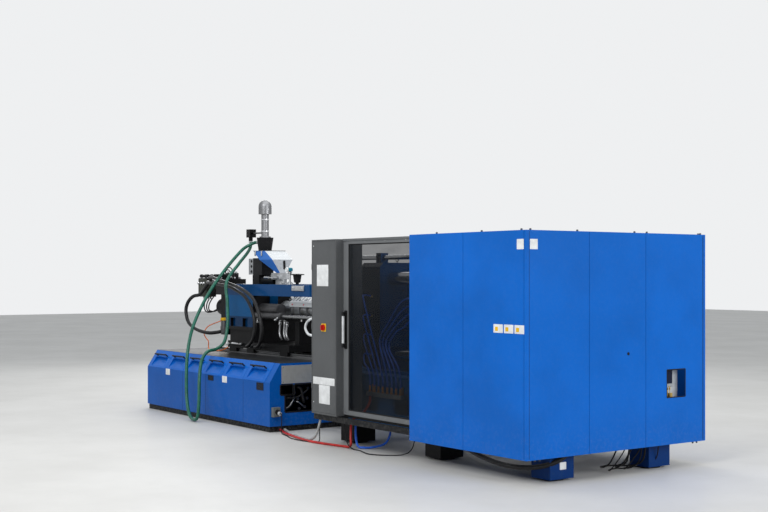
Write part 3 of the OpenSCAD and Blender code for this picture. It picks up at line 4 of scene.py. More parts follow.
import bmesh
import bpy
import numpy as np
from bpy.props import FloatProperty, FloatVectorProperty, IntProperty, PointerProperty
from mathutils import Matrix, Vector


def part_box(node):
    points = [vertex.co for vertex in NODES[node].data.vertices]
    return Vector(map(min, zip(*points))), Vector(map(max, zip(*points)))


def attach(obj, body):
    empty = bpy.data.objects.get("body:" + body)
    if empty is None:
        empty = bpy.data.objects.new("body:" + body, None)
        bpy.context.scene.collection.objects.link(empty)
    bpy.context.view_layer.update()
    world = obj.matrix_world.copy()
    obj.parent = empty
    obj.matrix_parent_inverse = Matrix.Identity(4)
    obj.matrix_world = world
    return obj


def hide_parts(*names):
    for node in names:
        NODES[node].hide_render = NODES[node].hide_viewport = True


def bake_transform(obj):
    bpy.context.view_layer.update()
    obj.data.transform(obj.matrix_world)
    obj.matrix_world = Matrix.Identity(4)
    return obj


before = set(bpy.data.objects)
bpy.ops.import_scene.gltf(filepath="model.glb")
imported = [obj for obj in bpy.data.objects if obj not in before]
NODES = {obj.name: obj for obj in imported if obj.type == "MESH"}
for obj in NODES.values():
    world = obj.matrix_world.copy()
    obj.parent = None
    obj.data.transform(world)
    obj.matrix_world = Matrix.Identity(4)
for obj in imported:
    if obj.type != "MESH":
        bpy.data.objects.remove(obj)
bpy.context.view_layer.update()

bl_info = {
    "name": "Injection moulding machine dress",
    "version": (1, 0, 0),
    "blender": (4, 5, 0),
    "location": "3D View > Sidebar > Machine",
    "description": "Finishes, hoses and fittings of a guarded injection moulding machine",
    "category": "Object",
}

# Directions: the rear side faces -Y and the clamp end +X
UP, DOWN = (0, 0, 1), (0, 0, -1)
TO_REAR, TO_FRONT = (0, -1, 0), (0, 1, 0)
TO_DRIVE, TO_CLAMP = (-1, 0, 0), (1, 0, 0)
SIDES = (("rear", -1), ("front", 1))

# Places that several fittings share, in metres
SCREW_AXIS_Z = 1.25
VALVE_DECK = 1.600
THROAT_X = -1.872


def corners(node):
    """Lowest and highest corner of a CAD node as two arrays."""
    low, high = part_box(node)
    return np.array(low, float), np.array(high, float)


class FinishSettings(bpy.types.PropertyGroup):
    """Colours and sheen of the machine's paints, metals and plastics."""

    panel_blue: FloatVectorProperty(
        name="Panel blue", description="Paint of the guard panels and the injection bed",
        subtype="COLOR", size=3, min=0, max=1, default=(0.002, 0.120, 0.52))
    casting_blue: FloatVectorProperty(
        name="Casting blue", description="Paint of platens, beams and housing",
        subtype="COLOR", size=3, min=0, max=1, default=(0.002, 0.098, 0.285))
    column_grey: FloatVectorProperty(
        name="Column grey", description="Paint of the columns and the doors",
        subtype="COLOR", size=3, min=0, max=1, default=(0.104, 0.108, 0.112))
    machine_black: FloatVectorProperty(
        name="Machine black", description="Paint of the drive, the base and the plinth",
        subtype="COLOR", size=3, min=0, max=1, default=(0.012, 0.0125, 0.014))
    cover_grey: FloatVectorProperty(
        name="Cover grey", description="Paint of the barrel cover and the hoods",
        subtype="COLOR", size=3, min=0, max=1, default=(0.55, 0.57, 0.585))
    hose_green: FloatVectorProperty(
        name="Hose green", description="Wall of the material hose",
        subtype="COLOR", size=3, min=0, max=1, default=(0.012, 0.115, 0.075))
    gloss: FloatProperty(
        name="Gloss", description="Clear coat of the sheet paint",
        subtype="FACTOR", min=0, max=1, default=0.06)
    wear: FloatProperty(
        name="Wear", description="Dust, rubs and stains on all finishes",
        subtype="FACTOR", min=0, max=1, default=0.28)


class FittingSettings(bpy.types.PropertyGroup):
    """Sizes of the small fittings."""

    screw_radius: FloatProperty(
        name="Panel screw", description="Head radius of the panel screws",
        unit="LENGTH", min=0.002, max=0.01, default=0.0055)
    label_bevel: FloatProperty(
        name="Plate corner", description="Corner radius of the bare plates",
        unit="LENGTH", min=0.001, max=0.01, default=0.004)
    gasket: FloatProperty(
        name="Gasket", description="Width of the rubber round panes and cut-outs",
        unit="LENGTH", min=0.004, max=0.02, default=0.011)
    hose_sides: IntProperty(
        name="Hose sides", description="Corners of a hose's cross section",
        min=8, max=32, default=16)
    water_hose: FloatProperty(
        name="Water hose", description="Diameter of the cooling water hoses",
        unit="LENGTH", min=0.008, max=0.02, default=0.014)
    cable: FloatProperty(
        name="Cable", description="Diameter of the thin cables",
        unit="LENGTH", min=0.005, max=0.016, default=0.010)


class StageSettings(bpy.types.PropertyGroup):
    """Camera, lamps and floor."""

    lens: FloatProperty(
        name="Lens", description="Focal length on a 36 mm wide sensor",
        unit="CAMERA", min=20, max=120, default=58.27)
    eye: FloatVectorProperty(
        name="Eye", description="Place of the camera",
        subtype="XYZ", unit="LENGTH", size=3, default=(10.69, -7.54, 1.65))
    heading: FloatVectorProperty(
        name="Heading", description="Direction the camera looks along",
        subtype="DIRECTION", size=3, default=(-0.812, 0.5835, 0.0))
    rise: FloatProperty(
        name="Rise", description="Upward shift of the lens, as a share of the frame's width",
        min=-0.1, max=0.1, default=0.0247)
    key_power: FloatProperty(
        name="Key power", description="Power of the large soft lamp overhead",
        unit="POWER", min=0, max=5000, default=620)
    floor_grey: FloatProperty(
        name="Floor grey", description="Brightness of the floor",
        subtype="FACTOR", min=0, max=1, default=0.62)


class Value:
    """One output socket; the operators on it add Math nodes."""

    def __init__(self, tree, socket):
        self.tree = tree
        self.socket = socket

    def _math(self, operation, *values):
        return self.tree.add("ShaderNodeMath", {"operation": operation}, values)

    def __add__(self, other):
        return self._math("ADD", self, other)

    __radd__ = __add__

    def __sub__(self, other):
        return self._math("SUBTRACT", self, other)

    def __rsub__(self, other):
        return self._math("SUBTRACT", other, self)

    def __mul__(self, other):
        return self._math("MULTIPLY", self, other)

    __rmul__ = __mul__

    def __truediv__(self, other):
        return self._math("DIVIDE", self, other)

    def __rtruediv__(self, other):
        return self._math("DIVIDE", other, self)

    def __pow__(self, other):
        return self._math("POWER", self, other)

    def size(self):
        """Value without its sign."""
        return self._math("ABSOLUTE", self)

    def part(self):
        """Fractional part."""
        return self._math("FRACT", self)

    def most(self, other):
        """The larger of two values."""
        return self._math("MAXIMUM", self, other)

    def over(self, low, high):
        """0 below low, 1 above high, smooth between."""
        return self.tree.add(
            "ShaderNodeMapRange", {"interpolation_type": "SMOOTHSTEP"},
            {"Value": self, "From Min": low, "From Max": high})

    def under(self, low, high):
        """1 below low, 0 above high, smooth between."""
        return 1.0 - self.over(low, high)

    def within(self, low, high, soft):
        """1 between low and high, falling to 0 over soft outside them."""
        return self.over(low - soft, low) * self.under(high, high + soft)


class Tree:
    """A node tree whose nodes all come from one method."""

    def __init__(self, tree):
        self.nodes = tree.nodes
        self.links = tree.links

    def add(self, kind, settings=None, values=(), out=0):
        """Adds one node: settings first, then numbers or links on its inputs; returns one output."""
        node = self.nodes.new(kind)
        for key, value in (settings or {}).items():
            setattr(node, key, value)
        pairs = values.items() if isinstance(values, dict) else enumerate(values)
        for key, value in pairs:
            if isinstance(value, Value):
                self.links.new(value.socket, node.inputs[key])
            else:
                node.inputs[key].default_value = value
        return Value(self, node.outputs[out]) if node.outputs else None


class Shader(Tree):
    """A material with its Principled BSDF; constants go straight on its sockets."""

    def __init__(self, name, roughness=0.5, metallic=0.0, **constants):
        self.material = bpy.data.materials.new(name)
        self.material.use_nodes = True
        super().__init__(self.material.node_tree)
        self.bsdf = self.nodes["Principled BSDF"]
        constants.update(Roughness=roughness, Metallic=metallic, Specular_IOR_Level=0.08)
        for key, value in constants.items():
            self.bsdf.inputs[key.replace("_", " ")].default_value = value

    def place(self):
        """Object coordinates, which are the machine's own metres."""
        return self.add("ShaderNodeTexCoord", out="Object")

    def axes(self, vector):
        """The three parts of a vector."""
        split = self.add("ShaderNodeSeparateXYZ", None, [vector]).socket.node
        return [Value(self, socket) for socket in split.outputs]

    def facing(self):
        """The three parts of the surface's own normal."""
        return self.axes(self.add("ShaderNodeTexCoord", out="Normal"))

    def stretch(self, vector, scale, turn=(0, 0, 0)):
        """Coordinates scaled along the three axes."""
        return self.add("ShaderNodeMapping", None, {"Vector": vector, "Scale": scale, "Rotation": turn})

    def noise(self, vector, scale, detail=3.0, rough=0.55):
        """Noise between 0 and 1."""
        return self.add("ShaderNodeTexNoise", None, {
            "Vector": vector, "Scale": scale, "Detail": detail, "Roughness": rough})

    def cells(self, vector, scale):
        """Distance to the nearest point of a scattered grid."""
        return self.add("ShaderNodeTexVoronoi", None, {"Vector": vector, "Scale": scale})

    def mix(self, factor, first, second):
        """Colour between two colours."""
        first, second = [c if isinstance(c, Value) else (*c, 1.0) for c in (first, second)]
        return self.add("ShaderNodeMix", {"data_type": "RGBA"}, {0: factor, 6: first, 7: second}, out=2)

    def rim(self):
        """0 where the surface faces the viewer, 1 at its outline."""
        return self.add("ShaderNodeLayerWeight", None, {"Blend": 0.35}, out="Facing")

    def put(self, name, value):
        """Feeds one socket of the Principled BSDF."""
        self.links.new(value.socket, self.bsdf.inputs[name])

    def finish(self, base, roughness, height, depth, strength=1.0):
        """Feeds colour, roughness and a bump with a real depth in metres; returns the material."""
        self.put("Base Color", base)
        self.put("Roughness", roughness)
        self.put("Normal", self.add("ShaderNodeBump", None, {
            "Height": height, "Distance": depth, "Strength": strength}))
        return self.material


DUST = (0.30, 0.285, 0.26)


def shade(colour, amount):
    """A colour made darker or lighter by a factor."""
    return tuple(min(1.0, c * amount) for c in colour)


def grime(s, p, base, colour, amount):
    """Mixes dust near the floor and faint clouds over all into a base colour.

    The dust mask falls smoothly with height up to the knee and is broken up by fine noise.
    """
    knee = 0.55
    clouds = s.noise(p, 1.6, 5)
    specks = s.noise(p, 34.0, 4, 0.65)
    mask = (s.axes(p)[2].under(0.0, knee) * 0.55 + 0.12) * specks.over(0.42, 0.72) * amount
    toned = s.mix(clouds.over(0.3, 0.7), base, shade(colour, 0.86))
    return s.mix(mask, toned, DUST), specks, clouds


def sheet_paint(name, colour, wear, gloss, roughness=0.34, buckle=0.0012, zones=None):
    """Painted sheet: clouded tone, floor dust, drips, orange peel and slightly buckled metal.

    Height for the bump is fine noise for the peel plus a very low noise for the buckles.
    """
    s = Shader(name, roughness, Coat_Weight=gloss, Coat_Roughness=0.12)
    p = s.place()
    base = s.mix(s.noise(p, 0.7, 2).over(0.25, 0.75), shade(colour, 0.96), shade(colour, 1.06))
    base, specks, clouds = grime(s, p, base, colour, wear)
    drips = s.noise(s.stretch(p, (14.0, 14.0, 0.8)), 1.0, 4, 0.6).over(0.63, 0.80)
    base = s.mix(drips * (0.22 * wear), base, shade(colour, 0.62))
    rubs = s.noise(s.stretch(p, (3.0, 3.0, 22.0), (0.5, 0.3, 0.0)), 2.2, 5, 0.7).over(0.70, 0.76)
    base = s.mix(rubs * (0.18 * wear), base, DUST)
    if zones:
        base = zones(s, p, base, specks)
    return s.finish(base, specks * 0.10 + clouds * 0.10 + (roughness - 0.09) + rubs * 0.12,
                    s.noise(p, 520.0, 1) * 0.06 + s.noise(p, 1.4, 1), buckle, 0.8)


def cast_paint(name, colour, wear, roughness=0.42, zones=None):
    """Painted casting or weldment: grainy skin, oily hollows and dulled paint."""
    s = Shader(name, roughness, Coat_Weight=0.03, Coat_Roughness=0.25)
    p = s.place()
    base = s.mix(s.noise(p, 3.0, 4).over(0.3, 0.7), colour, shade(colour, 0.82))
    base, specks, clouds = grime(s, p, base, colour, wear)
    oil = s.noise(p, 6.0, 6, 0.7).over(0.60, 0.74)
    base = s.mix(oil * (0.45 * wear), base, shade(colour, 0.35))
    if zones:
        base = zones(s, p, base, specks)
    return s.finish(base, clouds * 0.16 + (roughness - 0.08) - oil * 0.14, s.noise(p, 130.0, 5, 0.7), 0.0011)


def turned_steel(name, colour, roughness=0.2, tint=None, rings=900.0, depth=0.00012):
    """Turned or ground bar along X: fine rings round the bar, an oil film, a few long scratches and a painted
    reflection of a dark hall that darkens the bar towards its outline.
    """
    s = Shader(name, roughness, 1.0)
    p = s.place()
    ring = s.noise(s.stretch(p, (rings, 2.0, 2.0)), 1.0, 2)
    scratch = s.noise(s.stretch(p, (1.2, 260.0, 260.0)), 1.0, 3, 0.7).over(0.66, 0.74)
    film = s.noise(p, 4.0, 4).over(0.35, 0.75)
    base = s.mix(ring * 0.5 + film * 0.4, shade(colour, 0.82), shade(colour, 1.08))
    base = s.mix(scratch * 0.35, base, shade(colour, 0.5))
    # Painted reflection: the bar darkens towards its outline as if it mirrored a dark hall
    base = s.mix(s.rim() * 0.75, base, shade(colour, 0.22))
    if tint:
        base = tint(s, p, base)
    return s.finish(base, film * 0.16 + ring * 0.08 + (roughness - 0.06) + scratch * 0.2, ring, depth)


def brushed_plate(name, colour, roughness=0.3, along=0, dull=0.3, metallic=1.0):
    """Brushed flat metal: streaks along one axis, water marks and thumb-sized dull patches."""
    s = Shader(name, roughness, metallic)
    p = s.place()
    scale = [340.0, 340.0, 340.0]
    scale[along] = 6.0
    streaks = s.noise(s.stretch(p, scale), 1.0, 4, 0.6)
    patches = s.noise(p, 14.0, 4).over(0.4, 0.7)
    base = s.mix(streaks, shade(colour, 0.72), shade(colour, 1.1))
    base = s.mix(patches * dull, base, shade(colour, 0.6))
    return s.finish(base, streaks * 0.18 + patches * 0.14 + (roughness - 0.1), streaks, 0.0002)


def raw_casting(name, colour, metallic=0.7, roughness=0.55):
    """Bare or blackened casting: sand grain with bright tips on patches of two tones."""
    s = Shader(name, roughness, metallic)
    p = s.place()
    grain = s.noise(p, 210.0, 4, 0.7)
    patches = s.noise(p, 9.0, 5, 0.65)
    base = s.mix(patches.over(0.35, 0.7), shade(colour, 0.7), shade(colour, 1.25))
    base = s.mix(grain.over(0.62, 0.8) * 0.4, base, shade(colour, 2.0))
    return s.finish(base, patches * 0.3 + (roughness - 0.15), grain, 0.0008)


def moulded(name, colour, roughness=0.42, grain=900.0, depth=0.00025, zones=None, coat_weight=0.0):
    """Moulded plastic: leather-like spark grain, faint flow clouds and a little dust."""
    s = Shader(name, roughness, Coat_Weight=coat_weight, Coat_Roughness=0.08)
    p = s.place()
    spark = s.cells(p, grain)
    clouds = s.noise(p, 12.0, 4)
    base = s.mix(clouds.over(0.3, 0.7), shade(colour, 0.9), shade(colour, 1.12))
    base = s.mix(s.noise(p, 60.0, 4, 0.7).over(0.6, 0.8) * 0.12, base, DUST)
    if zones:
        base = zones(s, p, base, spark)
    return s.finish(base, clouds * 0.14 + (roughness - 0.07), spark, depth)


def rubber(name, colour, roughness=0.55, coat_weight=0.0):
    """Rubber or hose wall: dusty bloom, fine mould grain and scuffed high spots."""
    s = Shader(name, roughness, Coat_Weight=coat_weight, Coat_Roughness=0.2)
    p = s.place()
    bloom = s.noise(p, 18.0, 5, 0.65)
    scuff = s.noise(p, 75.0, 3, 0.7).over(0.62, 0.78)
    base = s.mix(bloom.over(0.35, 0.75), colour, shade(colour, 1.7))
    base = s.mix(scuff * 0.10, base, DUST)
    return s.finish(base, bloom * 0.2 + (roughness - 0.1), s.noise(p, 700.0, 2), 0.0002)


def clear_pane(name, colour, alpha, roughness=0.06):
    """Tinted pane: dark body colour, wiped streaks and a dusty rim near its lower edge."""
    s = Shader(name, roughness, IOR=1.5)
    p = s.place()
    wipes = s.noise(s.stretch(p, (3.0, 3.0, 9.0), (0.0, 0.5, 0.0)), 1.5, 5, 0.6)
    dust = s.noise(p, 90.0, 4, 0.7).over(0.52, 0.8) * s.axes(p)[2].under(0.3, 1.0)
    base = s.mix(wipes.over(0.5, 0.8) * 0.18, colour, shade(colour, 2.4))
    s.put("Base Color", s.mix(dust * 0.10, base, DUST))
    s.put("Alpha", wipes.over(0.45, 0.8) * 0.05 + dust * 0.10 + alpha)
    s.put("Roughness", wipes * 0.08 + roughness)
    s.material.surface_render_method = "BLENDED"
    return s.material


# Materials by the keys that pieces ask for; the finishes operator fills it
PAINTS = {}


def rounded(width, height, radius, steps=5):
    """Outline of a rounded rectangle about the origin as an (n, 2) array.

    Each corner is a quarter circle: corner centre plus radius times cosine and sine.
    """
    turn = np.radians(np.arange(4)[:, None] * 90 + np.linspace(0, 90, steps)[None])
    centre = np.array([[1, 1], [-1, 1], [-1, -1], [1, -1]]) * [width / 2 - radius, height / 2 - radius]
    points = centre[:, None] + radius * np.stack([np.cos(turn), np.sin(turn)], -1)
    return points.reshape(-1, 2)


def circle(radius, steps=24):
    """Circle about the origin as an (n, 2) array: radius times cosine and sine of an even turn."""
    turn = np.linspace(0, 2 * np.pi, steps, endpoint=False)
    return radius * np.stack([np.cos(turn), np.sin(turn)], -1)


def basis(normal, up=UP):
    """Three unit vectors: sideways, up and along a direction."""
    n = np.array(normal, float) / np.linalg.norm(normal)
    up = np.array(up, float)
    if abs(n @ up) > 0.95:
        up = np.array([1.0, 0, 0])
    side = np.cross(up, n)
    side /= np.linalg.norm(side)
    return side, np.cross(n, side), n


def skin(name, rings, finish, body, closed=False, crease=38.0):
    """Mesh through stacked rings: ring k is joined to ring k + 1 point by point.

    rings is (copies, k, n, 3) or (k, n, 3). Open stacks get a flat face at both ends, closed ones
    join the last ring to the first.
    """
    rings = np.asarray(rings, float)
    if rings.ndim == 3:
        rings = rings[None]
    copies, k, n, _ = rings.shape
    index = np.arange(copies * k * n).reshape(copies, k, n)
    ahead = np.roll(index, -1, axis=1) if closed else index[:, 1:]
    here = index if closed else index[:, :-1]
    quads = np.stack([here, np.roll(here, -1, axis=2), np.roll(ahead, -1, axis=2), ahead], -1)
    faces = quads.reshape(-1, 4).tolist()
    if not closed:
        faces += index[:, 0, ::-1].tolist() + index[:, -1].tolist()
    return mesh_piece(name, rings.reshape(-1, 3), faces, finish, body, crease)


def mesh_piece(name, points, faces, finish, body, crease):
    """Links a mesh with outward faces, smooth below the crease angle, and lets it ride on a body."""
    mesh = bpy.data.meshes.new(name)
    mesh.from_pydata(points.tolist(), [], faces)
    work = bmesh.new()
    work.from_mesh(mesh)
    bmesh.ops.recalc_face_normals(work, faces=work.faces)
    work.to_mesh(mesh)
    work.free()
    mesh.polygons.foreach_set("use_smooth", np.ones(len(mesh.polygons), bool))
    mesh.set_sharp_from_angle(angle=math.radians(crease))
    mesh.materials.append(PAINTS[finish])
    piece = bpy.data.objects.new(name, mesh)
    bpy.context.scene.collection.objects.link(piece)
    if body:
        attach(piece, body)
    return piece


def lathe(profile, centre, axis, steps=24):
    """Rings of a turned shape: profile rows are (radius, distance along the axis)."""
    side, up, n = basis(axis)
    profile = np.asarray(profile, float)
    turn = circle(1.0, steps)
    around = turn[:, :1] * side + turn[:, 1:] * up
    rings = profile[:, :1, None] * around[None] + profile[:, 1:, None] * n
    return rings + np.asarray(centre, float)


def slab(outline, centre, normal, thickness, edge, up=UP):
    """Rings of a plate with a rounded edge; the outline is shrunk ring by ring towards its face.

    The first ring lies on the surface, the last one is the plate's face.
    """
    side, vertical, n = basis(normal, up)
    size = np.abs(outline).max(axis=0)
    turn = np.radians(np.linspace(0, 90, 4))
    inset = np.concatenate([[0.0], edge * (1 - np.cos(turn)), [min(size) * 0.6]])
    rise = np.concatenate([[0.0], thickness - edge + edge * np.sin(turn), [thickness]])
    scale = 1 - inset[:, None] / size[None]
    flat = outline[None] * scale[:, None, :]
    return (np.asarray(centre, float) + flat[..., :1] * side + flat[..., 1:] * vertical
            + rise[:, None, None] * n)


def cut_corners(points, cut):
    """Outline with every corner replaced by two points that lie cut before and after it."""
    p = np.asarray(points, float)
    back, ahead = np.roll(p, 1, axis=0) - p, np.roll(p, -1, axis=0) - p
    steps = [cut * d / np.linalg.norm(d, axis=1, keepdims=True) for d in (back, ahead)]
    return np.stack([p + steps[0], p + steps[1]], 1).reshape(-1, 2)


def edging(name, outline, centre, normal, section, body="machine", finish="gasket"):
    """Closed strip round an outline; section rows are (outward offset, height over the surface).

    Outwards is square to the line from the point before to the point after.
    """
    side, vertical, n = basis(normal)
    forward = np.roll(outline, -1, axis=0) - np.roll(outline, 1, axis=0)
    out = np.stack([forward[:, 1], -forward[:, 0]], -1)
    out /= np.linalg.norm(out, axis=1, keepdims=True)
    section = np.asarray(section, float)
    flat = outline[:, None] + out[:, None] * section[None, :, :1]
    rings = (np.asarray(centre, float) + flat[..., :1] * side + flat[..., 1:] * vertical
             + section[None, :, 1:] * n)
    return skin(name, rings, finish, body, closed=True)


def smooth_path(points, steps):
    """Catmull-Rom curve through points: four-point cubic blends, steps samples a span."""
    p = np.asarray(points, float)
    a, b = np.concatenate([p[:1], p[:-2]]), p[:-1]
    c, d = p[1:], np.concatenate([p[2:], p[-1:]])
    t = (np.arange(steps) / steps)[None, :, None]
    a, b, c, d = [q[:, None] for q in (a, b, c, d)]
    curve = 0.5 * (2 * b + (c - a) * t + (2 * a - 5 * b + 4 * c - d) * t ** 2
                   + (3 * b - a - 3 * c + d) * t ** 3)
    return np.concatenate([curve.reshape(-1, 3), p[-1:]])


def sweep(path, profile, up=(0.31, 0.23, 0.92)):
    """Profile carried along a path; its two axes are crosses of the path's direction with up."""
    path = np.asarray(path, float)
    along = np.gradient(path, axis=0)
    along /= np.linalg.norm(along, axis=1, keepdims=True)
    side = np.cross(np.asarray(up, float)[None], along)
    side /= np.linalg.norm(side, axis=1, keepdims=True)
    top = np.cross(along, side)
    return path[:, None] + profile[None, :, :1] * side[:, None] + profile[None, :, 1:] * top[:, None]


def hose(name, radius, finish, body, points=None, blend_to=None, replaces=None, steps=8):
    """Round hose or cable with both ends on the machine; its route has its name."""
    points = points or ROUTES[name]
    path = smooth_path(points, steps)
    ring = circle(radius, bpy.context.scene.machine_fittings.hose_sides)
    piece = skin(name, sweep(path, ring), finish, None if blend_to else body)
    if blend_to:
        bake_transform(piece)
    if replaces:
        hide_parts(replaces)
    return piece


def soft_lamp(name, place, aim, size, power):
    """Square area lamp that looks at a point."""
    data = bpy.data.lights.new(name, "AREA")
    data.size = size
    data.energy = power
    lamp = bpy.data.objects.new(name, data)
    bpy.context.scene.collection.objects.link(lamp)
    lamp.location = place
    lamp.rotation_euler = (Vector(aim) - Vector(place)).to_track_quat("-Z", "Y").to_euler()


class MACHINE_OT_stage(bpy.types.Operator):
    """Camera, lamps, world and the pale floor"""
    bl_idname = "machine.stage"
    bl_label = "Stage"

    def execute(self, context):
        context.scene.view_settings.view_transform = "Standard"
        values = context.scene.machine_stage
        self.camera(context.scene, values)
        self.world(context.scene)
        for name, place, aim, size, share in (
                ("key", (4.2, -9.0, 7.2), (0.4, 0, 1.0), 6.0, 1.0),
                ("side_fill", (12.0, 2.5, 4.2), (1.5, 0, 1.0), 5.0, 0.75),
                ("top", (-0.5, 0.5, 8.0), (-0.5, 0, 0), 9.0, 0.62),
                ("rear_fill", (-8.0, 4.0, 5.0), (-2.0, 0, 1.0), 5.0, 0.35)):
            soft_lamp(name, place, aim, size, values.key_power * share)
        self.floor(context.scene, values.floor_grey)
        return {"FINISHED"}

    def camera(self, scene, values):
        """Places the camera that shows the machine as the photograph does."""
        data = bpy.data.cameras.new("photo_camera")
        data.sensor_width = 36.0
        data.lens = values.lens
        data.shift_y = values.rise
        data.clip_end = 200.0
        camera = bpy.data.objects.new("photo_camera", data)
        scene.collection.objects.link(camera)
        camera.location = values.eye
        camera.rotation_euler = Vector(values.heading).to_track_quat("-Z", "Y").to_euler()
        scene.camera = camera

    def world(self, scene):
        """Pale backdrop and soft light.

        Camera rays see the backdrop, also in mirrors and through glass; all other rays meet the light.
        """
        world = bpy.data.worlds.new("studio")
        scene.world = world
        world.use_nodes = True
        tree = Tree(world.node_tree)
        tree.nodes.clear()
        light = tree.add("ShaderNodeBackground", None, {"Color": (0.90, 0.95, 1.0, 1), "Strength": 0.55})
        backdrop = tree.add("ShaderNodeBackground", None, {"Color": (0.86, 0.87, 0.88, 1), "Strength": 1.0})
        camera, glass, mirror = [tree.add("ShaderNodeLightPath", out="Is %s Ray" % kind)
                                 for kind in ("Camera", "Transmission", "Glossy")]
        seen = camera.most(glass).most(mirror)
        blend = tree.add("ShaderNodeMixShader", None, [seen, light, backdrop])
        tree.add("ShaderNodeOutputWorld", None, [blend])

    def floor(self, scene, grey):
        """Square of sealed concrete just under the machine's feet."""
        s = Shader("sealed_concrete", 0.42, Coat_Weight=0.05)
        p = s.place()
        stains = s.noise(p, 2.6, 6, 0.7)
        base = s.mix(s.noise(p, 0.55, 5, 0.6).over(0.3, 0.7), (grey, grey * 0.985, grey * 0.95),
                     (grey * 0.9, grey * 0.885, grey * 0.85))
        s.put("Base Color", s.mix(stains.over(0.55, 0.75) * 0.10, base, shade((grey, grey, grey), 0.75)))
        s.put("Roughness", stains * 0.3 + 0.35)
        half, drop = 40, -0.0008
        mesh = bpy.data.meshes.new("floor")
        mesh.from_pydata([(-half, -half, drop), (half, -half, drop), (half, half, drop), (-half, half, drop)],
                         [], [(0, 1, 2, 3)])
        mesh.materials.append(s.material)
        piece = bpy.data.objects.new("floor", mesh)
        scene.collection.objects.link(piece)


